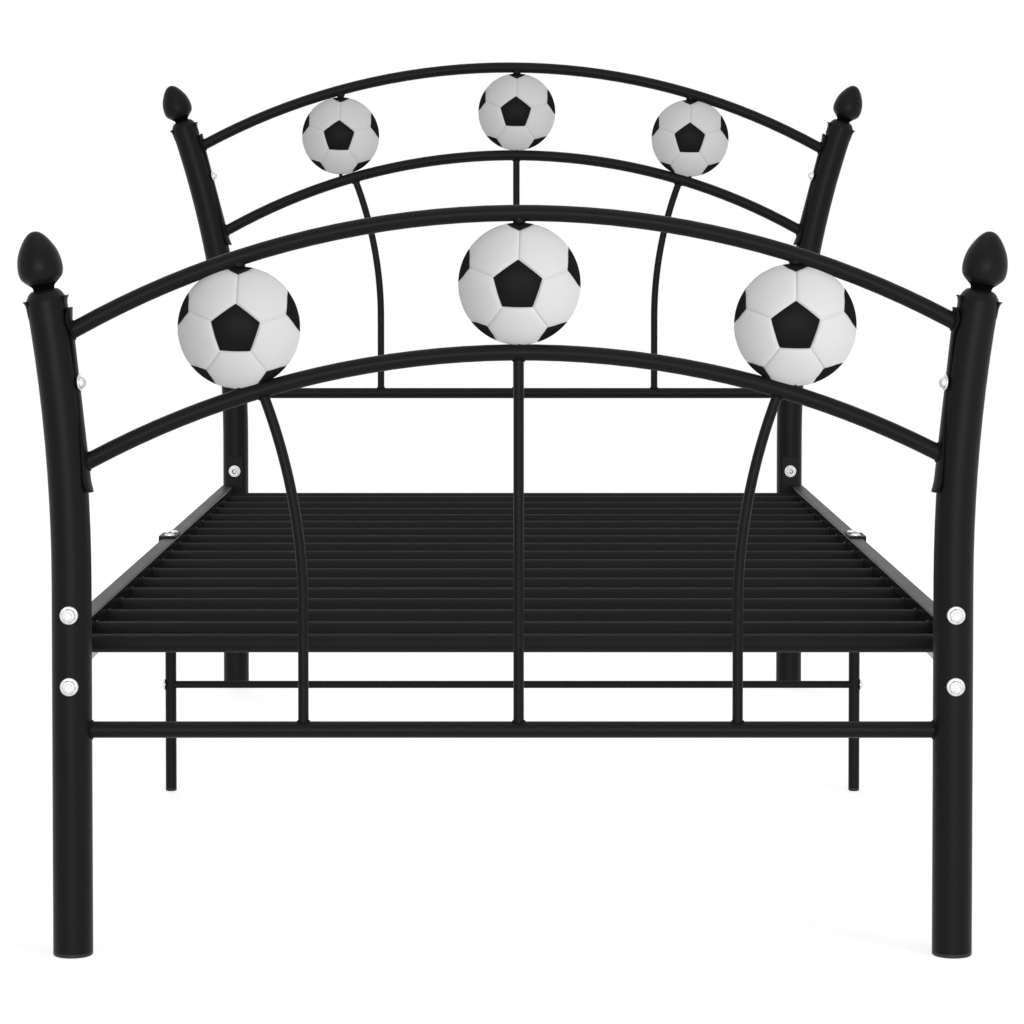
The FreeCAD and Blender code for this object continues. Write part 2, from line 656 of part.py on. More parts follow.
def build_deck():
    rows = slat_rows()
    for end in ENDS:
        export(f"{end.name}_rail_left", rail(end))
        export(f"{end.name}_rail_right", mirrored(rail(end)))
    export("rail_end_plates", [s for end in ENDS for s in both_sides(end_plate(end))])
    export("foot_slats", [slat(y) for y in rows[:FOOT_HALF_SLATS]])
    head_rows = rows[FOOT_HALF_SLATS:] + [LENGTH / 2 - HEAD_END_TUBE_INSET]
    export("head_slats", [slat(y) for y in head_rows])
    export("splice_straps", both_sides(splice_strap()))
    export("middle_leg_left", middle_leg())
    export("middle_leg_right", mirrored(middle_leg()))
    export("leg_top_plates", both_sides(leg_plate()))
    export("leg_spreader", spreader())


def build_small_parts():
    export("post_glides", [s for end in ENDS for s in both_sides(
        glide(-HALF_SPACING, end.y, POST_R, POST_R - POST_WALL - PLUG_GAP, GLIDE_H, GLIDE_PLUG))])
    export("leg_glides", both_sides(
        glide(-LEG_X, LEG_Y, LEG_D / 2, LEG_D / 2 - LEG_WALL - PLUG_GAP, LEG_GLIDE_H, LEG_GLIDE_PLUG)))
    export("ball_hangers", [hanger(end, i) for end in ENDS for i in range(len(NAMES))])
    export("finial_studs", [s for end in ENDS for s in both_sides(finial_stud(end))])
    stacks = [(end, z, inner_stack(end, z, z == BOLT_Z[1])) for end in ENDS for z in BOLT_Z]
    export("rail_bolts", [s for end, z, _ in stacks for s in both_sides(rail_bolt(end, z))])
    export("rail_nuts", [s for _, _, (_, nut) in stacks for s in both_sides(nut)])
    export("outer_washers", [s for end, z, _ in stacks for s in both_sides(outer_washer(end, z))])
    export("inner_washers", [s for _, _, (washer, _) in stacks for w in washer for s in both_sides(w)])
    export("saddle_screws", [s for end in ENDS for s in both_sides(saddle_screw(end))])
    export("leg_screws", both_sides(leg_screw()))
    export("splice_bolts", [s for y in strap_bolts() for s in both_sides(strap_bolt(y))])
    export("splice_nuts", [s for y in strap_bolts() for s in both_sides(strap_nut(y))])


os.makedirs("parts", exist_ok=True)
build_ends()
build_deck()
build_small_parts()
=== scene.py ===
import logging
import math
import random
from collections.abc import Iterable, Sequence
from dataclasses import dataclass, field
from enum import Enum
from typing import ClassVar

import bmesh
import bpy
from mathutils import Matrix, Vector


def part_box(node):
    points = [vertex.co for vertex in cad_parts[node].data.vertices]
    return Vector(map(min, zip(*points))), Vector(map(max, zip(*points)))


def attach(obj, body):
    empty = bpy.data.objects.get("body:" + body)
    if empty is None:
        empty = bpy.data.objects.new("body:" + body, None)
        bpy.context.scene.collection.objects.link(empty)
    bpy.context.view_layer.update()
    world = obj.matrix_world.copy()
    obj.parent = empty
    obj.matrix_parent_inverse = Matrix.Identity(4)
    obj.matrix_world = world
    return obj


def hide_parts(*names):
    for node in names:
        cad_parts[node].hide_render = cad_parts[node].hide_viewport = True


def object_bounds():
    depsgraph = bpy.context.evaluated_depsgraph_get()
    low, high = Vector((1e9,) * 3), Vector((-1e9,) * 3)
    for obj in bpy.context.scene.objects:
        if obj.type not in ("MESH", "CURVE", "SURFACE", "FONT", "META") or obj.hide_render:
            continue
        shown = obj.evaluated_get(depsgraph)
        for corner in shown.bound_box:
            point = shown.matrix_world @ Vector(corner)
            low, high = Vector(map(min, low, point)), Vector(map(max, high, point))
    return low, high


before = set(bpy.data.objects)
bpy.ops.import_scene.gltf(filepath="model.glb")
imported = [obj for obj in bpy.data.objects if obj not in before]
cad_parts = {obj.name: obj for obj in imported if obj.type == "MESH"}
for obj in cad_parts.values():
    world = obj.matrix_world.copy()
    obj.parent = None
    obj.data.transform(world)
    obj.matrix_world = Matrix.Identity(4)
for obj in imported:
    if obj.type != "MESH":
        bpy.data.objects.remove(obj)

CAD_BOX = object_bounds()
MM = 0.001
BODY = "root"
LOG = logging.getLogger("bed")
SIDES = {-1: "left", 1: "right"}
LENGTHWAYS = Vector((0, 1, 0))
UP = Vector((0, 0, 1))
LEAST = 0.002 * MM        # points nearer than this are joined

Triple = tuple[float, float, float]
Run = Sequence[tuple[float, float]]


# ---- shader maths

class Term:
    """A shader socket or number that takes part in a Python expression."""

    def __init__(self, graph: "Graph", value: object) -> None:
        """Wraps a socket or a plain number, for use in the given graph."""
        self.graph = graph
        self.value = value

    def _math(self, operation: str, *others: object, swap: bool = False) -> "Term":
        """Adds one Math node.

        Args:
            operation: the Math node's operation.
            others: the further operands, Terms or numbers.
            swap: whether this term comes second.

        Returns:
            The node's result as a new Term.
        """
        operands = [self, *others]
        if swap:
            operands.reverse()
        node = self.graph.node("ShaderNodeMath", {"operation": operation}, dict(enumerate(operands)))
        return Term(self.graph, node.outputs[0])

    def __add__(self, other: object) -> "Term":
        """This plus other."""
        return self._math("ADD", other)

    def __radd__(self, other: object) -> "Term":
        """Other plus this."""
        return self._math("ADD", other)

    def __sub__(self, other: object) -> "Term":
        """This minus other."""
        return self._math("SUBTRACT", other)

    def __rsub__(self, other: object) -> "Term":
        """Other minus this."""
        return self._math("SUBTRACT", other, swap=True)

    def __mul__(self, other: object) -> "Term":
        """This times other."""
        return self._math("MULTIPLY", other)

    def __rmul__(self, other: object) -> "Term":
        """Other times this."""
        return self._math("MULTIPLY", other)

    def root(self) -> "Term":
        """The square root of this."""
        return self._math("SQRT")

    def clamp(self) -> "Term":
        """This, held between 0 and 1."""
        return self._math("MAXIMUM", 0.0)._math("MINIMUM", 1.0)

    def ramp(self, low: float, high: float) -> "Term":
        """0 where this is low, 1 where it is high, and straight between."""
        return ((self - low) * (1.0 / (high - low))).clamp()


class Graph:
    """The node tree of one material or world, and the few ways that nodes are added to it."""

    def __init__(self, tree: bpy.types.NodeTree) -> None:
        """Empties the tree."""
        self.tree = tree
        tree.nodes.clear()

    def node(self, kind: str, settings: dict[str, object] | None = None,
             inputs: dict[str | int, object] | None = None) -> bpy.types.Node:
        """Adds any node.

        Args:
            kind: the node's type.
            settings: the node's own properties, which are set first.
            inputs: values, sockets or Terms, by socket name or number.

        Returns:
            The new node.
        """
        made = self.tree.nodes.new(kind)
        for name, value in (settings or {}).items():
            setattr(made, name, value)
        for name, value in (inputs or {}).items():
            self.feed(made.inputs[name], value)
        return made

    def feed(self, socket: bpy.types.NodeSocket, value: object) -> None:
        """Gives a socket what it takes.

        Args:
            socket: the socket.
            value: a socket or Term, which is linked, or a plain value, which is set.
        """
        if isinstance(value, Term):
            value = value.value
        if isinstance(value, bpy.types.NodeSocket):
            self.tree.links.new(value, socket)
        else:
            socket.default_value = value

    def place(self) -> bpy.types.NodeSocket:
        """The point on the object, in metres, in the bed's own frame."""
        return self.node("ShaderNodeTexCoord").outputs["Object"]

    def noise(self, scale: float, detail: float = 2.0, roughness: float = 0.5) -> Term:
        """Cloudy noise from 0 to 1 over the object.

        Args:
            scale: features per metre.
            detail: octaves of finer noise.
            roughness: how strong the finer octaves are.

        Returns:
            The noise.
        """
        made = self.node("ShaderNodeTexNoise", {"noise_dimensions": "3D"},
                         {"Vector": self.place(), "Scale": scale, "Detail": detail, "Roughness": roughness})
        return Term(self, made.outputs[0])

    def mix(self, factor: object, first: Triple, second: Triple) -> bpy.types.NodeSocket:
        """A colour between two others.

        Args:
            factor: 0 for the first colour and 1 for the second.
            first: linear RGB.
            second: linear RGB.

        Returns:
            The mixed colour.
        """
        made = self.node("ShaderNodeMix", {"data_type": "RGBA"})
        for socket, value in ((made.inputs[0], factor), (made.inputs[6], (*first, 1.0)),
                              (made.inputs[7], (*second, 1.0))):
            self.feed(socket, value)
        return made.outputs[2]

    def bump(self, height: Term, distance: float, strength: float) -> bpy.types.NodeSocket:
        """A normal from a height.

        Args:
            height: the height, 0 to 1.
            distance: what a height of 1 stands for, in metres.
            strength: how much of it shows.

        Returns:
            The normal.
        """
        made = self.node("ShaderNodeBump", None,
                         {"Strength": strength, "Distance": distance, "Height": height})
        return made.outputs["Normal"]

    def backdrop_rays(self) -> Term:
        """Tells the rays that show the background from those that light the bed.

        Returns:
            1 for a ray that is seen straight, mirrored or through glass, and 0 for any other.
        """
        rays = self.node("ShaderNodeLightPath").outputs
        seen, mirrored, through = (Term(self, rays[f"Is {kind} Ray"])
                                   for kind in ("Camera", "Glossy", "Transmission"))
        return (seen + mirrored + through).clamp()


# ---- finishes

@dataclass(frozen=True)
class Finish:
    """What every finish has. A finish adds its own pattern in shade().

    A noise averages a half, so roughness stays the mean where half of what is added is taken off.
    """

    name: str
    colour: Triple
    roughness: float

    def material(self) -> bpy.types.Material:
        """Makes the finish once.

        Returns:
            Its material.
        """
        known = bpy.data.materials.get(self.name)
        if known:
            return known
        made = bpy.data.materials.new(self.name)
        made.use_nodes = True
        graph = Graph(made.node_tree)
        shader = graph.node("ShaderNodeBsdfPrincipled", None, {"Base Color": (*self.colour, 1.0),
                                                               "Roughness": self.roughness})
        self.shade(graph, shader)
        graph.node("ShaderNodeOutputMaterial", None, {"Surface": shader.outputs[0]})
        return made

    def shade(self, graph: Graph, shader: bpy.types.Node) -> None:
        """Adds the finish's pattern to its shader."""
        raise NotImplementedError


@dataclass(frozen=True)
class PowderCoat(Finish):
    """Baked powder paint on steel: satin, with a faint orange peel and slightly uneven gloss."""

    specular: float = 0.12
    wall_roughness: float | None = None
    peel_per_metre: float = 520.0
    peel_depth: float = 0.12 * MM
    peel_strength: float = 0.30
    drift_per_metre: float = 9.0
    specks_per_metre: float = 2600.0
    specks_from: float = 0.60
    specks_to: float = 0.78
    specks_share: float = 0.3
    lightest: float = 1.5
    gloss_drift: float = 0.10
    gloss_peel: float = 0.05
    flat_from: float = 0.2

    def shade(self, graph: Graph, shader: bpy.types.Node) -> None:
        """Adds the orange peel, a slow drift of tone and gloss, and smoother upright walls where asked.

        Args:
            graph: the material's nodes.
            shader: its surface shader.
        """
        peel = graph.noise(self.peel_per_metre, 2.0)
        drift = graph.noise(self.drift_per_metre, 3.0)
        specks = graph.noise(self.specks_per_metre, 1.0).ramp(self.specks_from, self.specks_to)
        tone = (drift * (1 - self.specks_share) + specks * self.specks_share).clamp()
        lighter = tuple(c * self.lightest for c in self.colour)
        shader.inputs["Specular IOR Level"].default_value = self.specular
        graph.feed(shader.inputs["Base Color"], graph.mix(tone, self.colour, lighter))
        middle = self.roughness - (self.gloss_drift + self.gloss_peel) / 2
        rough = drift * self.gloss_drift + peel * self.gloss_peel + middle
        if self.wall_roughness is not None:
            facing = graph.node("ShaderNodeNewGeometry").outputs["Normal"]
            height = Term(graph, graph.node("ShaderNodeSeparateXYZ", None, {"Vector": facing}).outputs["Z"])
            flat = (height * height).ramp(0.0, self.flat_from)
            rough = rough * flat + (1 - flat) * self.wall_roughness
        graph.feed(shader.inputs["Roughness"], rough)
        graph.feed(shader.inputs["Normal"], graph.bump(peel, self.peel_depth, self.peel_strength))


@dataclass(frozen=True)
class Moulding(Finish):
    """Injection-moulded plastic with a fine spark-eroded grain."""

    specular: float = 0.4
    grain_per_metre: float = 1500.0
    grain_depth: float = 0.06 * MM
    grain_strength: float = 0.25
    drift_per_metre: float = 16.0
    lightest: float = 1.06
    bloom: float = 0.001
    gloss_drift: float = 0.08

    def shade(self, graph: Graph, shader: bpy.types.Node) -> None:
        """Adds the grain and a slow drift of gloss.

        Args:
            graph: the material's nodes.
            shader: its surface shader.
        """
        grain = graph.noise(self.grain_per_metre, 2.0, 0.6)
        drift = graph.noise(self.drift_per_metre, 2.0)
        lighter = tuple(min(1.0, c * self.lightest + self.bloom) for c in self.colour)
        shader.inputs["Specular IOR Level"].default_value = self.specular
        graph.feed(shader.inputs["Base Color"], graph.mix(drift.clamp(), self.colour, lighter))
        middle = self.roughness - self.gloss_drift / 2
        graph.feed(shader.inputs["Roughness"], drift * self.gloss_drift + middle)
        graph.feed(shader.inputs["Normal"], graph.bump(grain, self.grain_depth, self.grain_strength))


@dataclass(frozen=True)
class ZincPlate(Finish):
    """Bright zinc on steel: metal, slightly clouded, with fine marks from tumbling."""

    clouds_per_metre: float = 320.0
    clouds_from: float = 0.35
    clouds_to: float = 0.75
    dullest: float = 0.86
    marks_per_metre: float = 2400.0
    marks_depth: float = 0.04 * MM
    marks_strength: float = 0.25
    gloss_drift: float = 0.16

    def shade(self, graph: Graph, shader: bpy.types.Node) -> None:
        """Adds the clouding and the marks.

        Args:
            graph: the material's nodes.
            shader: its surface shader.
        """
        cloud = graph.noise(self.clouds_per_metre, 3.0)
        marks = graph.noise(self.marks_per_metre, 1.0, 0.7)
        duller = tuple(c * self.dullest for c in self.colour)
        clouded = cloud.ramp(self.clouds_from, self.clouds_to)
        shader.inputs["Metallic"].default_value = 1.0
        graph.feed(shader.inputs["Base Color"], graph.mix(clouded, self.colour, duller))
        middle = self.roughness - self.gloss_drift / 2
        graph.feed(shader.inputs["Roughness"], cloud * self.gloss_drift + middle)
        graph.feed(shader.inputs["Normal"], graph.bump(marks, self.marks_depth, self.marks_strength))


@dataclass(frozen=True)
class WhiteFloor(Finish):
    """The studio floor: white where nothing shades it, and melting into the white round it."""

    lift: float = 0.68
    fade_from: float = 1.7
    fade_to: float = 3.4
    lengthways: float = 0.45

    def shade(self, graph: Graph, shader: bpy.types.Node) -> None:
        """Keeps the bed's shadow near the bed, and shows plain white further off.

        Args:
            graph: the material's nodes.
            shader: its surface shader.
        """
        place = graph.node("ShaderNodeSeparateXYZ", None, {"Vector": graph.place()}).outputs
        across, along = Term(graph, place["X"]), Term(graph, place["Y"])
        far = (across * across + along * along * self.lengthways).root().ramp(self.fade_from, self.fade_to)
        seen = graph.backdrop_rays()
        black, white = (0.0, 0.0, 0.0), (1.0, 1.0, 1.0)
        shader.inputs["Specular IOR Level"].default_value = 0.0
        shader.inputs["Emission Strength"].default_value = 1.0
        graph.feed(shader.inputs["Base Color"], graph.mix(seen * far, self.colour, black))
        graph.feed(shader.inputs["Emission Color"],
                   graph.mix(seen * (far * (1 - self.lift) + self.lift), black, white))


COAT_BLACK = (0.0054, 0.0054, 0.0057)
COAT = PowderCoat("black_powder_coat", COAT_BLACK, 0.42)
RAIL_COAT = PowderCoat("black_powder_coat_on_rails", COAT_BLACK, 0.42, wall_roughness=0.10)
SLAT_COAT = PowderCoat("black_powder_coat_on_slats", COAT_BLACK, 0.62, specular=0.16)
WELD_COAT = PowderCoat("black_powder_coat_on_welds", (0.0046, 0.0046, 0.0048), 0.46, specular=0.07,
                       peel_per_metre=900.0, peel_depth=0.2 * MM)
# The finial's neck under the bud: painted shade, a near-black matte finish that stands in for the shadow the
# bud casts on it.
NECK_PAINTED_SHADE = Moulding("finial_neck_black", (0.0016, 0.0016, 0.0016), 0.80, specular=0.02)
BLACK_MOULDING = Moulding("finial_black", (0.0062, 0.0062, 0.0065), 0.40, specular=0.12)
GLIDE_PLASTIC = Moulding("glide_black", (0.0110, 0.0110, 0.0110), 0.55)
WHITE_PANEL = Moulding("football_white", (0.750, 0.750, 0.750), 0.46, specular=0.25)
BLACK_PANEL = Moulding("football_black", (0.0056, 0.0056, 0.0058), 0.42, specular=0.08)
ZINC = ZincPlate("bright_zinc", (0.84, 0.84, 0.85), 0.36)
BOLT_ZINC = ZincPlate("clear_zinc_on_rail_bolts", (0.63, 0.63, 0.63), 0.50)
FLOOR = WhiteFloor("studio_floor", (0.95, 0.95, 0.95), 0.9)


class Slot(Enum):
    """The names of the record's material slots."""

    STEEL = "black_steel"
    MOULDING = "black_moulding"
    FOOTBALL = "football_shell"
    ZINC = "zinc_steel"


# ---- meshes

class Shape:
    """A mesh under construction: points and faces, with a finish number for each face."""

    def __init__(self) -> None:
        """Starts with nothing."""
        self.points: list[Vector] = []
        self.faces: list[tuple[int, ...]] = []
        self.finish_of: list[int] = []

    def add(self, points: Iterable[Vector]) -> list[int]:
        """Adds points.

        Args:
            points: where they are.

        Returns:
            Their numbers.
        """
        first = len(self.points)
        self.points.extend(Vector(p) for p in points)
        return list(range(first, len(self.points)))

    def face(self, corners: Sequence[int], finish: int = 0) -> None:
        """Adds one face."""
        self.faces.append(tuple(corners))
        self.finish_of.append(finish)

    def skin(self, rings: Sequence[Sequence[Vector]], closed_path: bool = False) -> None:
        """Skins rings of equal length into one closed surface.

        Args:
            rings: the rings, each a closed loop of points.
            closed_path: whether the last ring joins the first; the end rings are filled in if not.
        """
        rows = [self.add(ring) for ring in rings]
        count = len(rows[0])
        pairs = list(zip(rows, rows[1:]))
        if closed_path:
            pairs.append((rows[-1], rows[0]))
        for near, far in pairs:
            for i in range(count):
                j = (i + 1) % count
                self.face((near[i], near[j], far[j], far[i]))
        if not closed_path:
            self.face(tuple(reversed(rows[0])))
            self.face(tuple(rows[-1]))

    def moved(self, placing: Matrix) -> "Shape":
        """Copies the shape to another place.

        Args:
            placing: the turn and shift.

        Returns:
            The copy.
        """
        made = Shape()
        made.points = [placing @ p for p in self.points]
        made.faces = list(self.faces)
        made.finish_of = list(self.finish_of)
        return made

    def join(self, other: "Shape") -> None:
        """Adds another shape to this one.

        Args:
            other: the shape whose points and faces are added.
        """
        start = len(self.points)
        self.points.extend(other.points)
        self.faces.extend(tuple(start + i for i in face) for face in other.faces)
        self.finish_of.extend(other.finish_of)


@dataclass
class Workshop:
    """Turns shapes into pieces of the bed, and keeps their names."""

    made: list[str] = field(default_factory=list)
    sliver: float = 0.001 * MM

    def piece(self, name: str, shape: Shape, finishes: Sequence[Finish],
              replaces: Sequence[str] = (), sharp_degrees: float = 40.0) -> bpy.types.Object:
        """Makes one visible piece.

        Args:
            name: the piece's name.
            shape: its points and faces.
            finishes: its finishes, in the order of the faces' numbers.
            replaces: the CAD nodes that it stands for.
            sharp_degrees: edges that turn more than this stay crisp.

        Returns:
            The new object.
        """
        mesh = bpy.data.meshes.new(name)
        mesh.from_pydata([tuple(p) for p in shape.points], [], shape.faces)
        for finish in finishes:
            mesh.materials.append(finish.material())
        mesh.polygons.foreach_set("material_index", shape.finish_of)
        self._clean(mesh, sharp_degrees)
        made = bpy.data.objects.new(name, mesh)
        bpy.context.scene.collection.objects.link(made)
        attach(made, BODY)
        if replaces:
            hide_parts(*replaces)
        self.made.append(name)
        return made

    def _clean(self, mesh: bpy.types.Mesh, sharp_degrees: float) -> None:
        """Joins doubled points, turns faces outwards and marks the crisp edges.

        Args:
            mesh: the mesh.
            sharp_degrees: edges that turn more than this are crisp.
        """
        work = bmesh.new()
        work.from_mesh(mesh)
        bmesh.ops.remove_doubles(work, verts=work.verts, dist=LEAST)
        bmesh.ops.dissolve_degenerate(work, edges=work.edges, dist=self.sliver)
        bmesh.ops.recalc_face_normals(work, faces=work.faces)
        limit = math.radians(sharp_degrees)
        for edge in work.edges:
            edge.smooth = not (len(edge.link_faces) == 2 and edge.calc_face_angle() > limit)
        for face in work.faces:
            face.smooth = True
        work.to_mesh(mesh)
        work.free()

    def dress(self, node: str, finish: Finish) -> None:
        """Gives a CAD node that stays its finish.

        Args:
            node: the node's name.
            finish: its finish.
        """
        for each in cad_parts[node].material_slots:
            each.link = "OBJECT"
            each.material = finish.material()


def loop_about(centre: Vector, across: Vector, up: Vector, reaches: Sequence[float],
               spin: float = 0.0) -> list[Vector]:
    """A loop of points at equal turns about a middle.

    Args:
        centre: the middle.
        across: the direction of the first point.
        up: the direction of the point a quarter turn on.
        reaches: how far out each point lies.
        spin: how far the loop is turned, in radians.

    Returns:
        The points.
    """
    turns = (2 * math.pi * i / len(reaches) + spin for i in range(len(reaches)))
    return [centre + (across * math.cos(t) + up * math.sin(t)) * reach for t, reach in zip(turns, reaches)]


def ring_about(centre: Vector, across: Vector, up: Vector, radius: float, count: int) -> list[Vector]:
    """A circle of so many points, the first of them straight across."""
    return loop_about(centre, across, up, [radius] * count)


def square_to(axis: Vector) -> tuple[Vector, Vector]:
    """Finds directions for a loop about an axis.

    Args:
        axis: the axis.

    Returns:
        Two directions square to it and to each other.
    """
    nearly_one = 0.9
    helper = Vector((0, 1, 0)) if abs(axis.y) < nearly_one else Vector((1, 0, 0))
    across = axis.cross(helper).normalized()
    return across, axis.cross(across).normalized()


def turned(profile: Run, origin: Vector, axis: Vector, count: int = 48) -> Shape:
    """A solid of revolution.

    Args:
        profile: (distance along the axis, radius) pairs; a radius of 0 makes a point.
        origin: where distance 0 lies.
        axis: the axis.
        count: points round it.

    Returns:
        The solid, closed at both ends.
    """
    across, up = square_to(axis)
    made = Shape()
    made.skin([ring_about(origin + axis * s, across, up, max(r, LEAST), count) for s, r in profile])
    return made


def smooth_curve(points: Run, steps: int) -> list[tuple[float, float]]:
    """A smooth run through points, by Catmull-Rom.

    Args:
        points: (s, r) pairs.
        steps: points made for each span.

    Returns:
        The denser run.
    """
    padded = [points[0], *points, points[-1]]
    made: list[tuple[float, float]] = []
    for a, b, c, d in zip(padded, padded[1:], padded[2:], padded[3:]):
        for i in range(steps):
            t = i / steps
            weights = (-t + 2 * t * t - t ** 3, 2 - 5 * t * t + 3 * t ** 3,
                       t + 4 * t * t - 3 * t ** 3, t ** 3 - t * t)
            made.append(tuple(0.5 * sum(w * p[k] for w, p in zip(weights, (a, b, c, d))) for k in (0, 1)))
    return [*made, tuple(points[-1])]


def between(points: Run, place: float) -> float:
    """The value at a place on straight runs.

    Args:
        points: (place, value) pairs, in order of place.
        place: the place wanted.

    Returns:
        The value there.
    """
    for (a, low), (b, high) in zip(points, points[1:]):
        if place <= b:
            return low + (high - low) * max(0.0, (place - a) / (b - a))
    return points[-1][1]


def hexagon(corner: float, count: int) -> list[float]:
    """How far out a hexagon's outline lies, for a loop.

    Args:
        corner: the radius of its corners.
        count: how many points the loop has.

    Returns:
        The radius at each point.
    """
    twelfth = math.pi / 6
    folds = ((2 * math.pi * i / count + twelfth) % (2 * twelfth) - twelfth for i in range(count))
    return [corner * math.cos(twelfth) / math.cos(fold) for fold in folds]


def bent_plate(centre: Vector, out: Vector, spread: float, reaches: tuple[float, float],
               rounding: tuple[float, int], columns: int) -> list[Vector]:
    """One cross-section of a plate that is bent round a post.

    Args:
        centre: the post's middle there.
        out: the direction of the plate's middle.
        spread: half the angle that the plate takes up, in radians.
        reaches: the radii of its outer and inner faces, in millimetres.
        rounding: how far the outer face falls back at its edges, in millimetres, and how suddenly.
        columns: spans across the plate.

    Returns:
        The section's points, round and back.
    """
    outer, inner = reaches
    edge, suddenness = rounding
    places = [2 * j / columns - 1 for j in range(columns + 1)]
    aims = [out * math.cos(p * spread) + LENGTHWAYS * math.sin(p * spread) for p in places]
    front = [centre + aim * ((outer - edge * abs(p) ** suddenness) * MM) for p, aim in zip(places, aims)]
    return front + [centre + aim * (inner * MM) for aim in reversed(aims)]


# ---- the bed's skeleton

@dataclass(frozen=True)
class Tube:
    """A round tube's middle line near a joint: a point, its direction and the tube's radius."""

    point: Vector
    along: Vector
    radius: float

    def inward(self, side: int) -> Vector:
        """The direction square to a post or saddle on a side, towards the bed's middle."""
        return Vector((-side * self.along.z, 0, side * self.along.x))


@dataclass(frozen=True)
class Arch:
    """A tube bent to one radius, standing in an end panel."""

    apex: float
    radius: float
    middle: float

    def height(self, x: float) -> float:
        """The middle line's height at x."""
        return self.apex - self.radius + math.sqrt(self.radius ** 2 - (x - self.middle) ** 2)

    def along(self, x: float) -> Vector:
        """The middle line's direction at x, towards +X."""
        rise = -(x - self.middle) / self.radius
        return Vector((math.sqrt(1 - rise * rise), 0, rise))


@dataclass(frozen=True)
class Bed:
    """Driving sizes of the whole frame, in metres, read from the class itself."""

    half_spacing: float = 467.5 * MM
    half_length: float = 1030.0 * MM
    post_r: float = 21.15 * MM
    tube_r: float = 8.75 * MM
    spindle_r: float = 5.6 * MM
    spindle_x: Triple = (-222.0 * MM, 6.5 * MM, 239.0 * MM)
    spindle_straight: float = 128.3 * MM
    spindle_bend_r: float = 643.0 * MM
    saddle_r: float = 22.4 * MM
    saddle_t: float = 1.2 * MM
    rail_x: float = 478.9 * MM
    rail_w: float = 20.0 * MM
    slat_z: float = 319.3 * MM
    slat_r: float = 10.0 * MM
    bolt_z: tuple[float, float] = (289.0 * MM, 364.7 * MM)


@dataclass(frozen=True)
class EndLines:
    """The middle lines of one end of the bed, foot or head."""

    name: str
    y: float
    bend_start: float
    bend_radius: float
    post_top: float
    bar_z: float
    upper: Arch
    lower: Arch
    saddle_low: float
    saddle_high: float
    screw_z: float

    @property
    def outward(self) -> float:
        """-1 at the foot and +1 at the head."""
        return math.copysign(1.0, self.y)

    @property
    def arches(self) -> tuple[Arch, Arch]:
        """Both arches."""
        return self.upper, self.lower

    def saddle(self, side: int) -> Tube:
        """A saddle's straight middle line, at its middle, and its outer radius."""
        return self.post(side, (self.saddle_low + self.saddle_high) / 2, Bed.saddle_r)

    def saddle_half(self) -> float:
        """Half a saddle's length."""
        return (self.saddle_high - self.saddle_low) / 2 / self.saddle(1).along.z

    def post(self, side: int, z: float, radius: float) -> Tube:
        """A post's middle line at height z.

        Args:
            side: -1 for the left post and +1 for the right.
            z: the height.
            radius: the radius wanted.

        Returns:
            The middle line there.
        """
        rise = max(0.0, z - self.bend_start)
        tilt = math.asin(rise / self.bend_radius)
        x = side * (Bed.half_spacing + self.bend_radius * (1 - math.cos(tilt)))
        return Tube(Vector((x, self.y, z)), Vector((side * math.sin(tilt), 0, math.cos(tilt))), radius)


FOOT = EndLines("foot", -Bed.half_length, bend_start=396 * MM, bend_radius=1765 * MM, post_top=696 * MM,
                bar_z=240.5 * MM, upper=Arch(788.7 * MM, 968.5 * MM, 9.6 * MM),
                lower=Arch(641.3 * MM, 968.5 * MM, 9.6 * MM), saddle_low=491 * MM, saddle_high=687 * MM,
                screw_z=607 * MM)
HEAD = EndLines("head", Bed.half_length, bend_start=420 * MM, bend_radius=1640 * MM, post_top=942 * MM,
                bar_z=495 * MM, upper=Arch(1043.5 * MM, 1080 * MM, -5.7 * MM),
                lower=Arch(896 * MM, 984 * MM, 1.5 * MM), saddle_low=739.5 * MM, saddle_high=926.5 * MM,
                screw_z=855 * MM)


# ---- footballs

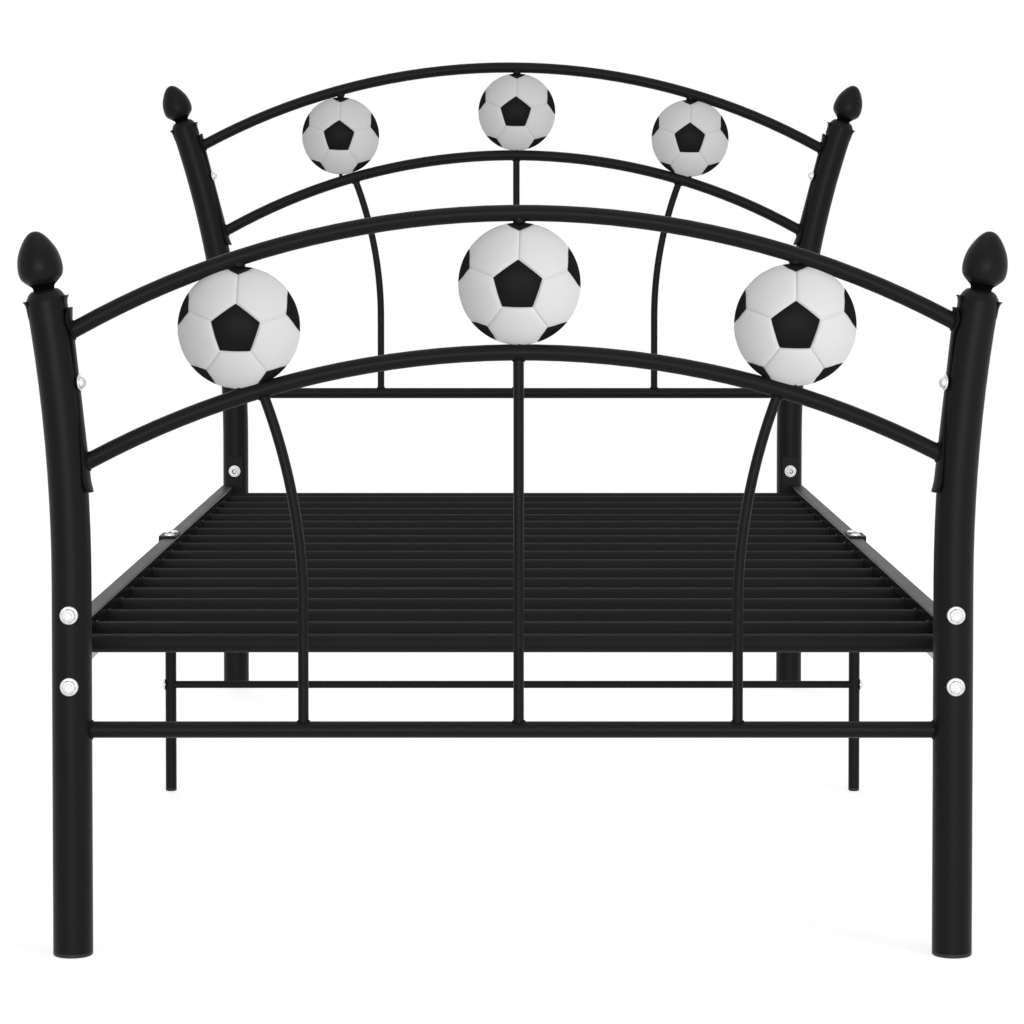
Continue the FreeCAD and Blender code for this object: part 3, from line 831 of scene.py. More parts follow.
@dataclass
class Football:
    """One moulded half of a football plaque: a shallow dome with the panels of a real ball.

    The panels are those of a sphere, of which the plaque shows a cap, squeezed to the plaque's depth.
    Towards the top they are stretched (crown), and near the rim they are pinched. Each panel is cut
    into triangles from its middle, and each of those into rows, closer together near the seam.
    """

    radius: float = 64.7 * MM
    rise: float = 27.4 * MM
    rim: float = 2.0 * MM
    cap_degrees: float = 53.0
    spare_degrees: float = 6.0
    tilt_degrees: Triple = (1.6, 1.45, 1.2)
    crown: float = 0.08
    rim_pinch: float = 0.559
    pinch_from: float = 0.8
    seam_depth: float = 1.3 * MM
    seam_width: float = 1.0 * MM
    pad_depth: float = 0.9 * MM
    pad_width: float = 3.6 * MM
    pad_roundness: float = 1.25
    edge_fade: float = 3.0 * MM
    lip: float = 0.5 * MM
    back: float = 0.15 * MM
    rows: tuple[float, ...] = (0.0, 0.25, 0.48, 0.65, 0.77, 0.85, 0.90, 0.935, 0.96, 0.978, 0.991, 1.0)
    columns: int = 13
    halvings: int = 24
    slack: float = 1.01
    least_reach: float = 1e-9

    @property
    def stretch(self) -> float:
        """The radius of the whole ball, of which the plaque shows a cap."""
        return self.radius / math.sin(math.radians(self.cap_degrees))

    @staticmethod
    def _centres() -> list[Vector]:
        """The black panels' middles.

        Returns:
            The twelve corners of an icosahedron, one of them straight up.
        """
        polar = math.atan(2.0)
        ring = [Vector((math.sin(polar) * math.cos(a), math.sin(polar) * math.sin(a), math.cos(polar)))
                for a in (math.pi / 2 + 2 * math.pi * k / 5 for k in range(5))]
        return [Vector((0, 0, 1)), *ring, *(-p for p in ring), Vector((0, 0, -1))]

    def panels(self) -> list[tuple[list[Vector], int]]:
        """Every panel of the whole ball.

        Returns:
            (corners in order, finish number) pairs: 1 for black pentagons and 0 for white hexagons.
        """
        centres = self._centres()
        numbers = range(len(centres))
        nearly_an_edge = min((a - b).length for a in centres for b in centres if a is not b)
        nearly_an_edge *= self.slack
        tilt, lean, roll = (math.radians(angle) for angle in self.tilt_degrees)
        turn = (Matrix.Rotation(tilt, 3, "X") @ Matrix.Rotation(-lean, 3, "Y")
                @ Matrix.Rotation(-roll, 3, "Z"))
        near = {i: [j for j in numbers if j != i and (centres[i] - centres[j]).length < nearly_an_edge]
                for i in numbers}
        made = []
        for i, others in near.items():
            corners = [(centres[i] * 2 + centres[j]).normalized() for j in others]
            made.append((self._in_order(corners, turn), 1))
        for i in numbers:
            for j in near[i]:
                for k in near[i]:
                    if i < j < k and k in near[j]:
                        pairs = [(a, b) for a in (i, j, k) for b in (i, j, k) if a != b]
                        corners = [(centres[a] * 2 + centres[b]).normalized() for a, b in pairs]
                        made.append((self._in_order(corners, turn), 0))
        return made

    @staticmethod
    def _in_order(corners: list[Vector], turn: Matrix) -> list[Vector]:
        """Turns a panel and sorts its corners round its middle.

        Args:
            corners: the corners, in any order.
            turn: the turn.

        Returns:
            The turned corners, in order.
        """
        turned_corners = [turn @ c for c in corners]
        middle = sum(turned_corners, Vector()).normalized()
        across, up = square_to(middle)
        return sorted(turned_corners, key=lambda c: math.atan2(c.dot(up), c.dot(across)))

    def _sink(self, point: Vector, corners: list[Vector]) -> float:
        """How deep a point of a panel lies: padding that falls off towards a narrow groove.

        Args:
            point: the point's direction from the ball's middle.
            corners: the panel's corners.

        Returns:
            The depth, in metres.
        """
        groove = padding = 1.0
        for a, b in zip(corners, corners[1:] + corners[:1]):
            away = abs(point.dot(a.cross(b).normalized())) * self.stretch
            groove *= 1 - math.exp(-((away / self.seam_width) ** 2))
            padding *= 1 - math.exp(-((away / self.pad_width) ** self.pad_roundness))
        return self.seam_depth * (1 - groove) + self.pad_depth * (1 - padding)

    def _on_plaque(self, direction: Vector, sink: float) -> Vector:
        """Where a direction of the ball lies on the plaque, which faces +Z.

        Args:
            direction: the direction from the ball's middle.
            sink: how deep the point lies.

        Returns:
            The point.
        """
        x, y = direction.x * self.stretch, direction.y * self.stretch
        y += self.crown * max(y, 0.0) ** 2 / self.radius
        reach = max(math.hypot(x, y) / self.radius, self.least_reach)
        pinched = min(1 - self.rim_pinch * max(0.0, reach - self.pinch_from) ** 2 / reach, 1.0)
        x, y = x * pinched, y * pinched
        away = math.hypot(x, y)
        sphere_r = (self.radius ** 2 + self.rise ** 2) / (2 * self.rise)
        above_middle = math.sqrt(max(sphere_r ** 2 - away * away, 0.0))
        height = self.rim + self.rise - sphere_r + above_middle
        slope = Vector((x, y, above_middle)).normalized()
        fade = min(1.0, max(0.0, (self.radius - away) / self.edge_fade))
        return Vector((x, y, height)) - slope * (sink * fade)

    def _clipped(self, polygon: list[Vector]) -> list[Vector]:
        """Cuts a small polygon to the plaque's round outline.

        Args:
            polygon: its corners.

        Returns:
            The corners of the part inside, if any.
        """
        kept: list[Vector] = []
        for a, b in zip(polygon, polygon[1:] + polygon[:1]):
            a_in, b_in = (math.hypot(p.x, p.y) <= self.radius for p in (a, b))
            if a_in:
                kept.append(a)
            if a_in != b_in:
                low, high = (a, b) if a_in else (b, a)
                share, step = 0.5, 0.25
                for _ in range(self.halvings):
                    point = low.lerp(high, share)
                    share += step if math.hypot(point.x, point.y) < self.radius else -step
                    step /= 2
                point = low.lerp(high, share)
                kept.append(Vector((point.x, point.y, self.rim)))
        return kept

    def shape(self) -> Shape:
        """Makes the half.

        Returns:
            The half, closed, facing +Z with its flat back near 0.
        """
        made = Shape()
        limit = math.cos(math.radians(self.cap_degrees + self.spare_degrees))
        for corners, finish in self.panels():
            if max(c.z for c in corners) < limit:
                continue
            middle = sum(corners, Vector()).normalized()
            for a, b in zip(corners, corners[1:] + corners[:1]):
                self._add_wedge(made, (middle, a, b), corners, finish)
        self._add_rim(made)
        return made

    def _add_wedge(self, made: Shape, wedge: tuple[Vector, Vector, Vector], corners: list[Vector],
                   finish: int) -> None:
        """Adds one triangle of a panel, divided finely and laid on the plaque.

        Args:
            made: the shape that grows.
            wedge: the panel's middle and two corners that are neighbours.
            corners: all the panel's corners.
            finish: the panel's finish number.
        """
        middle, left, right = wedge
        rings = []
        for out in self.rows:
            places = []
            for j in range(self.columns + 1):
                edge = left.lerp(right, j / self.columns)
                direction = middle.lerp(edge, out).normalized()
                places.append(self._on_plaque(direction, self._sink(direction, corners)))
            rings.append(places)
        for near, far in zip(rings, rings[1:]):
            for j in range(self.columns):
                cell = [near[j], far[j], far[j + 1], near[j + 1]]
                if near is rings[0]:
                    cell.pop()
                kept = self._clipped(cell)
                if len(kept) >= 3:
                    made.face(made.add(kept), finish)

    def _add_rim(self, made: Shape) -> None:
        """Closes the half: a short wall from the dome's edge, in its panel's colour, and a flat back.

        Args:
            made: the shape that grows.
        """
        work = bmesh.new()
        points = [work.verts.new(p) for p in made.points]
        for corners, finish in zip(made.faces, made.finish_of):
            work.faces.new([points[i] for i in corners]).material_index = finish
        bmesh.ops.remove_doubles(work, verts=work.verts, dist=LEAST)
        for edge in [e for e in work.edges if e.is_boundary]:
            finish = edge.link_faces[0].material_index
            walls = []
            for vert in edge.verts:
                out = Vector((vert.co.x, vert.co.y, 0))
                walls.append((vert.co.copy(), out + UP * (self.back + self.lip),
                              out * (1 - self.lip / self.radius) + UP * self.back))
            for near, far in ((0, 1), (1, 2)):
                made.face(made.add([walls[0][near], walls[1][near], walls[1][far], walls[0][far]]), finish)
            made.face(made.add([walls[0][2], walls[1][2], UP * self.back]), finish)
        work.free()


@dataclass
class Footballs:
    """The three footballs of each end panel, front and back halves."""

    middles: Triple = (-289.3 * MM, 7.3 * MM, 299.0 * MM)
    drops: Triple = (0.0, 1.0 * MM, 0.0)
    names: tuple[str, str, str] = ("left", "middle", "right")
    crisp_degrees: float = 50.0

    def build(self, shop: Workshop) -> None:
        """Makes the twelve halves from one mould.

        Args:
            shop: where the pieces are made.
        """
        half = Football().shape()
        for end in (FOOT, HEAD):
            for name, x, drop in zip(self.names, self.middles, self.drops):
                middle = Vector((x, end.y, (end.upper.height(x) + end.lower.height(x)) / 2 - drop))
                for facing, part, node in ((-1, "front", f"{end.name}_ball_front_{name}"),
                                           (1, "back", f"{end.name}_ball_backs")):
                    turn = Matrix((Vector((-facing, 0, 0)), UP, LENGTHWAYS * facing)).transposed()
                    placing = Matrix.Translation(middle) @ turn.to_4x4()
                    shop.piece(f"{end.name}_football_{name}_{part}", half.moved(placing),
                               (WHITE_PANEL, BLACK_PANEL), (node,), self.crisp_degrees)


# ---- post tops

@dataclass
class PostTops:
    """A bud finial and a winged collar on each post.

    Distances are in millimetres along the post from its top. Profiles pair them with radii, and
    leaf_edge pairs them with half widths.
    """

    neck: Run = ((11.0, 11.3), (12.6, 11.2), (14.2, 11.4))
    neck_top: float = 18.6
    bud: Run = ((16.0, 12.4), (20.5, 17.6), (25.5, 22.0), (33.0, 23.78), (43.5, 23.0), (54.0, 19.8),
                (64.7, 13.6), (71.0, 8.0), (73.6, 3.6), (74.2, 0.0))
    skirt: Run = ((-0.6, 20.0), (-0.5, 21.6))
    dome: Run = ((0.0, 21.25), (1.6, 20.9), (3.7, 20.1), (7.6, 17.8), (10.6, 14.9), (11.6, 12.6))
    leaf_edge: Run = ((-16.0, 4.4), (-15.4, 6.4), (-14.0, 8.4), (-10.0, 9.3), (-6.0, 9.8), (2.4, 11.8))
    leaf_face: Run = ((-16.0, 21.7), (-5.0, 22.0), (-2.0, 22.6), (0.4, 23.5), (1.6, 24.4), (2.4, 25.15))
    leaf_root: float = 21.17
    leaf_root_above: float = 20.4
    leaf_thinnest_at: float = 21.2
    leaf_rounding: float = 0.4
    leaf_suddenness: int = 8
    leaf_rows: int = 26
    leaf_columns: int = 16
    bud_steps: int = 7
    bud_points: int = 72
    dome_steps: int = 5
    dome_points: int = 64
    finial_crisp: float = 60.0
    collar_crisp: float = 35.0

    def build(self, shop: Workshop) -> None:
        """Makes the four finials and the four collars.

        Args:
            shop: where the pieces are made.
        """
        for end in (FOOT, HEAD):
            for side, name in SIDES.items():
                top = end.post(side, end.post_top, Bed.post_r)
                shop.piece(f"{end.name}_{name}_finial", self.finial(top), (BLACK_MOULDING, NECK_PAINTED_SHADE),
                           (f"{end.name}_finial_{name}",), self.finial_crisp)
                shop.piece(f"{end.name}_{name}_collar", self.collar(top), (BLACK_MOULDING,),
                           (f"{end.name}_collar_{name}",), self.collar_crisp)

    def finial(self, top: Tube) -> Shape:
        """The bud on its neck.

        Args:
            top: the post's middle line at its top.

        Returns:
            The finial, with finish 1, painted shade for the shadow under the bud, on its neck.
        """
        profile = [(s * MM, r * MM) for s, r in [*self.neck, *smooth_curve(self.bud, self.bud_steps)]]
        made = turned(profile, top.point, top.along, self.bud_points)
        # The neck's faces take the painted shade that stands in for the shadow under the bud.
        neck_end = self.neck_top * MM
        for i, face in enumerate(made.faces):
            if max((made.points[k] - top.point).dot(top.along) for k in face) < neck_end:
                made.finish_of[i] = 1
        return made

    def collar(self, top: Tube) -> Shape:
        """The dome that caps the post, with a leaf on its inner and outer sides.

        Args:
            top: the post's middle line at its top.

        Returns:
            The collar.
        """
        profile = [(s * MM, r * MM) for s, r in [*self.skirt, *smooth_curve(self.dome, self.dome_steps)]]
        made = turned(profile, top.point, top.along, self.dome_points)
        for way in SIDES:
            made.join(self._leaf(top, way))
        return made

    def _leaf(self, top: Tube, way: int) -> Shape:
        """A pointed leaf that hangs along the post and stands out a little at its flat upper end.

        Args:
            top: the post's middle line at its top.
            way: -1 or +1, which side it is on.

        Returns:
            The leaf, closed.
        """
        low, high = self.leaf_edge[0][0], self.leaf_edge[-1][0]
        rings = []
        for i in range(self.leaf_rows + 1):
            along = low + (high - low) * i / self.leaf_rows
            reach, half = between(self.leaf_face, along), between(self.leaf_edge, along)
            root = self.leaf_root if along < 0 else self.leaf_root_above
            edge = min(self.leaf_rounding, (reach - self.leaf_thinnest_at) / 2)
            rings.append(bent_plate(top.point + top.along * (along * MM), top.inward(-way),
                                    math.asin(half / reach), (reach, root), (edge, self.leaf_suddenness),
                                    self.leaf_columns))
        made = Shape()
        made.skin(rings)
        return made


# ---- saddles

@dataclass
class Saddles:
    """The straight troughs that hug the posts and carry the arches.

    An edge pairs the distance from an end with the half width, in millimetres.
    """

    low_edge: Run = ((0.0, 10.5), (1.2, 12.2), (3.0, 13.8), (5.5, 14.8), (10.0, 15.2), (20.0, 14.9),
                     (31.0, 14.3), (53.0, 12.8), (75.0, 10.8), (95.0, 9.5), (115.0, 9.1))
    high_edge: Run = ((30.0, 9.1), (27.5, 9.4), (24.5, 10.3), (21.0, 11.9), (17.0, 13.2), (12.0, 13.8),
                      (6.0, 13.5), (3.0, 12.9), (1.2, 11.9), (0.0, 10.5))
    flare_length: float = 12.0
    flare_lift: float = 1.5
    rounding: tuple[float, int] = (0.8, 9)
    columns: int = 20
    low_steps: int = 6
    high_steps: int = 4
    crisp_degrees: float = 50.0

    def build(self, shop: Workshop) -> None:
        """Makes the four troughs.

        Args:
            shop: where the pieces are made.
        """
        for end in (FOOT, HEAD):
            for side, name in SIDES.items():
                shop.piece(f"{end.name}_{name}_saddle_trough", self.trough(end, side), (COAT,),
                           (f"{end.name}_saddle_{name}",), self.crisp_degrees)

    def outline(self, length: float) -> list[tuple[float, float]]:
        """(distance from the lower end, half width) pairs along a trough of this length, in millimetres."""
        high = [(length - run, half) for run, half in self.high_edge]
        return smooth_curve(self.low_edge, self.low_steps) + smooth_curve(high, self.high_steps)

    def trough(self, end: EndLines, side: int) -> Shape:
        """One straight trough, its ends flared away from the post.

        Args:
            end: the end of the bed that it is on.
            side: -1 for the left post and +1 for the right.

        Returns:
            The trough.
        """
        line, half_length = end.saddle(side), end.saddle_half() / MM
        length = 2 * half_length
        rings = []
        for run, half in self.outline(length):
            lift = self.flare_lift * max(0.0, 1 - min(run, length - run) / self.flare_length)
            outer, inner = Bed.saddle_r / MM + lift, (Bed.saddle_r - Bed.saddle_t) / MM + lift
            rings.append(bent_plate(line.point + line.along * ((run - half_length) * MM), line.inward(side),
                                    math.asin(half / outer), (outer, inner), self.rounding, self.columns))
        made = Shape()
        made.skin(rings)
        return made


# ---- welds

@dataclass
class Welds:
    """Beads where tubes meet: small, a little uneven, under the same paint."""

    bead: float = 1.5 * MM
    bead_sides: int = 8
    ripple: float = 0.16
    sag: float = 0.1
    waves: tuple[int, ...] = (9, 10, 11)
    run_up: float = 60 * MM
    spindle_run_up: float = 30 * MM
    arch_tries: int = 12
    spindle_tries: int = 40
    draw: random.Random = field(default_factory=lambda: random.Random(7))

    def bead_round(self, path: Sequence[Vector]) -> Shape:
        """A bead along a closed path.

        Args:
            path: the points where the tubes meet.

        Returns:
            The bead, closed on itself.
        """
        count = len(path)
        phase = self.draw.uniform(0, 2 * math.pi)
        waves = self.draw.choice(self.waves)
        rings = []
        middle = sum(path, Vector()) / count
        for i, point in enumerate(path):
            along = (path[(i + 1) % count] - path[i - 1]).normalized()
            across = (point - middle).cross(along).normalized()
            turn = 2 * math.pi * i / count
            rippled, sagged = math.sin(waves * turn + phase), math.sin(2 * turn + 2 * phase)
            swell = 1 + self.ripple * rippled + self.sag * sagged
            rings.append(ring_about(point, across, along.cross(across), self.bead * swell, self.bead_sides))
        made = Shape()
        made.skin(rings, closed_path=True)
        return made

    def on_tube(self, branch: Tube, main: Tube, count: int = 36) -> Shape:
        """The bead where a branch tube lands on a main tube.

        Args:
            branch: the tube that ends; its direction points at the main tube.
            main: the tube that runs through.
            count: points round the bead.

        Returns:
            The bead, along the true curve where the two tubes meet.
        """
        across, up = square_to(branch.along)
        path = []
        for start in ring_about(branch.point, across, up, branch.radius, count):
            gap = start - main.point
            flat = branch.along - main.along * branch.along.dot(main.along)
            away = gap - main.along * gap.dot(main.along)
            a, b, c = flat.dot(flat), 2 * flat.dot(away), away.dot(away) - main.radius ** 2
            reach = (-b - math.sqrt(max(b * b - 4 * a * c, 0.0))) / (2 * a)
            path.append(start + branch.along * reach)
        return self.bead_round(path)

    def on_flat(self, branch: Tube, count: int = 32) -> Shape:
        """The bead where a tube's square end stands on a flat face."""
        across, up = square_to(branch.along)
        return self.bead_round(ring_about(branch.point, across, up, branch.radius, count))

    def panel(self, end: EndLines) -> Shape:
        """All the beads of one end panel.

        Args:
            end: the end of the bed.

        Returns:
            The beads on its saddles, its posts, its lower arch and its bar.
        """
        made = Shape()
        for side in SIDES:
            saddle = end.saddle(side)
            for arch in end.arches:
                x = side * Bed.half_spacing
                for _ in range(self.arch_tries):
                    rise = (arch.height(x) - saddle.point.z) / saddle.along.z
                    x = (saddle.point + saddle.along * rise).x - side * saddle.radius
                run = arch.along(x) * side
                start = Vector((x, end.y, arch.height(x))) - run * self.run_up
                made.join(self.on_tube(Tube(start, run, Bed.tube_r), saddle))
            bar = Tube(Vector((0, end.y, end.bar_z)), Vector((side, 0, 0)), Bed.tube_r)
            made.join(self.on_tube(bar, end.post(side, end.bar_z, Bed.post_r)))
        for x, bend in zip(Bed.spindle_x, (-1, 0, 1)):
            top_x, tilt = self.spindle_top(end, x, bend)
            rising = Vector((math.sin(tilt) * bend, 0, math.cos(tilt)))
            lower = Tube(Vector((top_x, end.y, end.lower.height(top_x))), end.lower.along(top_x), Bed.tube_r)
            spindle = Tube(lower.point - rising * self.spindle_run_up, rising, Bed.spindle_r)
            made.join(self.on_tube(spindle, lower))
            bar = Tube(Vector((x, end.y, end.bar_z)), Vector((1, 0, 0)), Bed.tube_r)
            made.join(self.on_tube(Tube(bar.point + UP * self.spindle_run_up, -UP, Bed.spindle_r), bar))
        return made

    def spindle_top(self, end: EndLines, x: float, bend: int) -> tuple[float, float]:
        """Where a spindle's middle line meets the lower arch.

        Args:
            end: the end of the bed.
            x: the spindle's place on the bar.
            bend: -1 or +1 for the side that it bends to, and 0 for none.

        Returns:
            Its place across the bed there, and how far it leans, in radians.
        """
        lean = 0.0
        if bend:
            for _ in range(self.spindle_tries):
                place = x + bend * Bed.spindle_bend_r * (1 - math.cos(lean))
                rise = end.lower.height(place) - end.bar_z - Bed.spindle_straight
                lean = math.asin(rise / Bed.spindle_bend_r)
        return x + bend * Bed.spindle_bend_r * (1 - math.cos(lean)), lean

    def deck(self) -> Shape:
        """Welds the deck.

        Returns:
            The beads where every cross tube meets the rails.
        """
        made = Shape()
        reach = Bed.rail_x - Bed.rail_w / 2
        for y in Deck().rows():
            for side in SIDES:
                made.join(self.on_flat(Tube(Vector((side * reach, y, Bed.slat_z)), Vector((side, 0, 0)),
                                            Bed.slat_r)))
        return made

    def build(self, shop: Workshop) -> None:
        """Makes the beads of both panels and of the deck.

        Args:
            shop: where the pieces are made.
        """
        for end in (FOOT, HEAD):
            shop.piece(f"{end.name}_panel_welds", self.panel(end), (WELD_COAT,))
        shop.piece("deck_welds", self.deck(), (WELD_COAT,))


# ---- fasteners

@dataclass
class Fasteners:
    """Zinc-plated bolts and screws whose heads show.

    Sizes are in millimetres. head_chamfer pairs levels from the head's top with radii from its flats,
    and washer_edge pairs radii from the rim with levels from the flat face.
    """

    plated: ClassVar[dict[str, Finish]] = {"rail_nuts": BOLT_ZINC, "inner_washers": BOLT_ZINC,
                                           "splice_nuts": ZINC, "finial_studs": ZINC}
    crisp_degrees: float = 28.0
    head_flats: float = 13.0
    head_height: float = 5.3
    head_foot: tuple[float, float] = (-0.02, -0.3)
    head_straight: float = 1.2
    head_chamfer: Run = ((-0.3, 0.15), (0.0, -0.7), (0.0, -2.0), (-0.5, -2.5))
    head_dish: tuple[float, float] = (-0.6, 0.4)
    head_points: int = 36
    first_spin: float = 0.35
    spin_up: float = 0.9
    spin_aside: float = 0.5
    thread_pitch: float = 1.25
    thread_turns: int = 18
    thread_root: float = 3.45
    thread_crest: float = 3.95
    shank_r: float = 3.9
    point_r: float = 3.0
    washer_r: float = 9.6
    washer_high: float = 3.4
    washer_bore: float = 0.41
    washer_edge: Run = ((0.0, -0.6), (-0.45, -0.1), (-0.9, 0.0))
    washer_back_in: float = 0.1
    washer_bore_in: float = 0.2
    washer_points: int = 48
    flange: Run = ((-1.5, 8.7), (-1.3, 9.0), (-0.35, 9.0), (-0.1, 8.75), (0.0, 8.4))
    flange_high: float = 1.5
    saddle_turn: float = math.radians(8.0)
    saddle_screw_sizes: Triple = (11.0, 6.2, 5.2)
    leg_screw_sizes: Triple = (16.0, 7.5, 4.0)
    screw_r: float = 2.45
    screw_dome: Run = ((0.0, 0.95), (0.08, 1.0), (0.25, 1.0), (0.45, 0.95), (0.63, 0.86), (0.8, 0.72),
                       (0.93, 0.56), (1.0, 0.44))
    screw_point: tuple[float, float] = (0.6, 2.0)
    screw_gap: float = 0.02
    socket_lip: float = 0.1
    socket_depth: float = 1.8
    socket_mouth: float = 0.37
    socket_floor: float = 0.34
    splice_head_r: float = 7.0
    splice_head_high: float = 3.2
    splice_rim: float = 0.8
    splice_shank_r: float = 3.0
    splice_taper: float = 0.6
    splice_edge: tuple[float, float] = (0.3, 0.4)
    splice_squareness: float = 0.8
    splice_steps: int = 8
    splice_points: int = 40

    def build(self, shop: Workshop) -> None:
        """Makes every bolt, screw and shaped washer.

        Args:
            shop: where the pieces are made.
        """
        bolts, washers, screws = Shape(), Shape(), Shape()
        stand_off = Bed.post_r + self.washer_high * MM
        for end in (FOOT, HEAD):
            out = LENGTHWAYS * end.outward
            for side in SIDES:
                for k, z in enumerate(Bed.bolt_z):
                    seat = Vector((side * Bed.half_spacing, end.y, z)) + out * stand_off
                    spin = self.first_spin + self.spin_up * k + self.spin_aside * side
                    bolts.join(self.hex_bolt(seat, out, spin))
                    washers.join(self.shaped_washer(seat, out))
                screws.join(self.saddle_screw(end, side))
        for name, shape, finish in (("rail_bolts", bolts, BOLT_ZINC), ("outer_washers", washers, BOLT_ZINC),
                                    ("saddle_screws", screws, ZINC), ("leg_screws", self.leg_screws(), ZINC),
                                    ("splice_bolts", self.splice_bolts(), ZINC)):
            shop.piece(f"{name}_plated", shape, (finish,), (name,), self.crisp_degrees)

    def leg_screws(self) -> Shape:
        """Makes the screws on the outer sides of the middle legs.

        Returns:
            Both screws.
        """
        low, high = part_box("leg_screws")
        leg_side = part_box("middle_leg_right")[1].x
        made = Shape()
        for side in SIDES:
            seat = Vector((side * leg_side, (low.y + high.y) / 2, (low.z + high.z) / 2))
            made.join(self.socket_screw(seat, Vector((side, 0, 0)), self.leg_screw_sizes))
        return made

    def splice_bolts(self) -> Shape:
        """Makes the domed bolts of the splices.

        Returns:
            The four bolts.
        """
        low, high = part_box("splice_bolts")
        foot = (low.z - high.z) / MM + self.splice_head_high
        edge_up, edge_in = self.splice_edge
        profile = [(foot, 0.0), (foot, self.splice_shank_r - self.splice_taper),
                   (foot + self.splice_taper, self.splice_shank_r), (0.0, self.splice_shank_r),
                   (0.0, self.splice_head_r - edge_in), (edge_up, self.splice_head_r),
                   (self.splice_rim, self.splice_head_r)]
        dome = self.splice_head_high - self.splice_rim
        for i in range(1, self.splice_steps):
            angle = math.pi / 2 * i / self.splice_steps
            profile.append((self.splice_rim + dome * math.sin(angle),
                            self.splice_head_r * math.cos(angle) ** self.splice_squareness))
        profile.append((self.splice_head_high, 0.0))
        made = Shape()
        for side in SIDES:
            for y in (low.y + self.splice_head_r * MM, high.y - self.splice_head_r * MM):
                seat = Vector((side * Bed.rail_x, y, high.z - self.splice_head_high * MM))
                made.join(turned([(s * MM, r * MM) for s, r in profile], seat, UP, self.splice_points))
        return made

    def hex_bolt(self, seat: Vector, out: Vector, spin: float) -> Shape:
        """A hexagon-headed bolt with a chamfered crown and a shallow dish in it.

        Args:
            seat: where the head meets its washer.
            out: the direction that the head faces.
            spin: how far the head is turned, in radians.

        Returns:
            The bolt, head and shank.
        """
        across, up = square_to(out)
        corner, flat, high = self.head_flats / math.sqrt(3), self.head_flats / 2, self.head_height
        outline = hexagon(corner, self.head_points)
        foot, dish = self.head_foot, self.head_dish
        crown = [(foot[0], flat + foot[1]), (0.0, corner), (high - self.head_straight, corner)]
        crown += [(high + level, flat + reach) for level, reach in self.head_chamfer]
        crown.append((high + dish[0], dish[1]))
        levels = [(s, [r] * self.head_points) for s, r in self.hex_shank()]
        levels += [(level, [min(reach, limit) for reach in outline]) for level, limit in crown]
        made = Shape()
        made.skin([loop_about(seat + out * (level * MM), across, up, [r * MM for r in reaches], spin)
                   for level, reaches in levels])
        return made

    def hex_shank(self) -> list[tuple[float, float]]:
        """A rail bolt's shank, threads and all.

        Returns:
            (distance from under the head, radius) pairs, in millimetres.
        """
        past_nut, chamfer, neck = 2.5, 0.8, 0.05
        length = (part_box("rail_bolts")[1].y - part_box("rail_nuts")[1].y) / MM - self.head_height + past_nut
        thread = []
        for i in range(self.thread_turns):
            start = -length + chamfer + i * self.thread_pitch
            thread += [(start, self.thread_root), (start + self.thread_pitch / 2, self.thread_crest)]
        plain = -length + chamfer + self.thread_turns * self.thread_pitch
        return [(-length, self.point_r), *thread, (plain, self.shank_r), (-neck, self.shank_r)]

    def saddle_screw(self, end: EndLines, side: int) -> Shape:
        """The flanged screw through a saddle, turned a little towards the foot.

        Args:
            end: the end of the bed.
            side: -1 for the left post and +1 for the right.

        Returns:
            The screw.
        """
        line = end.saddle(side)
        start = line.point + line.along * ((end.screw_z - line.point.z) / line.along.z)
        out = line.inward(side) * math.cos(self.saddle_turn) - LENGTHWAYS * math.sin(self.saddle_turn)
        seat = start + out * (Bed.saddle_r + self.flange_high * MM)
        made = turned([(s * MM, r * MM) for s, r in self.flange], seat, out)
        made.join(self.socket_screw(seat, out, self.saddle_screw_sizes))
        return made

    def shaped_washer(self, seat: Vector, out: Vector) -> Shape:
        """A washer whose back is hollowed to sit on a post.

        Args:
            seat: the middle of its flat face.
            out: the direction that its flat face looks.

        Returns:
            The washer.
        """
        across = UP.cross(out).normalized()
        post_r, bore = Bed.post_r / MM, self.washer_bore * self.washer_r

        def ring(reach: float, level: float | None) -> list[Vector]:
            """A ring of the washer.

            Args:
                reach: its radius.
                level: its height above the seat, or None where it meets the post.

            Returns:
                Its points.
            """
            points = []
            for i in range(self.washer_points):
                turn = 2 * math.pi * i / self.washer_points
                aside, ahead = reach * math.cos(turn), reach * math.sin(turn)
                on_post = math.sqrt(post_r ** 2 - aside ** 2) - post_r - self.washer_high
                height = on_post if level is None else level
                points.append(seat + out * (height * MM) + across * (aside * MM) + UP * (ahead * MM))
            return points

        edge = [ring(self.washer_r + reach, level) for reach, level in self.washer_edge]
        made = Shape()
        made.skin([ring(bore, None), ring(self.washer_r - self.washer_back_in, None), *edge,
                   ring(bore + self.washer_bore_in, 0.0)], closed_path=True)
        return made

    def socket_screw(self, seat: Vector, out: Vector, sizes: Triple) -> Shape:
        """A domed screw with a hexagon socket.

        Args:
            seat: where its head sits.
            out: the direction that the head faces.
            sizes: its shank's length, its head's radius and its head's height, in millimetres.

        Returns:
            The screw.
        """
        shank, radius, height = sizes
        across, up = square_to(out)
        count = self.head_points
        taper, point_r = self.screw_point
        profile = [(-shank, point_r), (-shank + taper, self.screw_r), (-self.screw_gap, self.screw_r)]
        profile += [(s * height, r * radius) for s, r in self.screw_dome]
        levels = [(s, [r] * count) for s, r in profile]
        levels += [(height - self.socket_lip, hexagon(self.socket_mouth * radius, count)),
                   (height - self.socket_depth, hexagon(self.socket_floor * radius, count))]
        made = Shape()
        made.skin([loop_about(seat + out * (level * MM), across, up, [r * MM for r in reaches])
                   for level, reaches in levels])
        return made


# ---- deck and legs

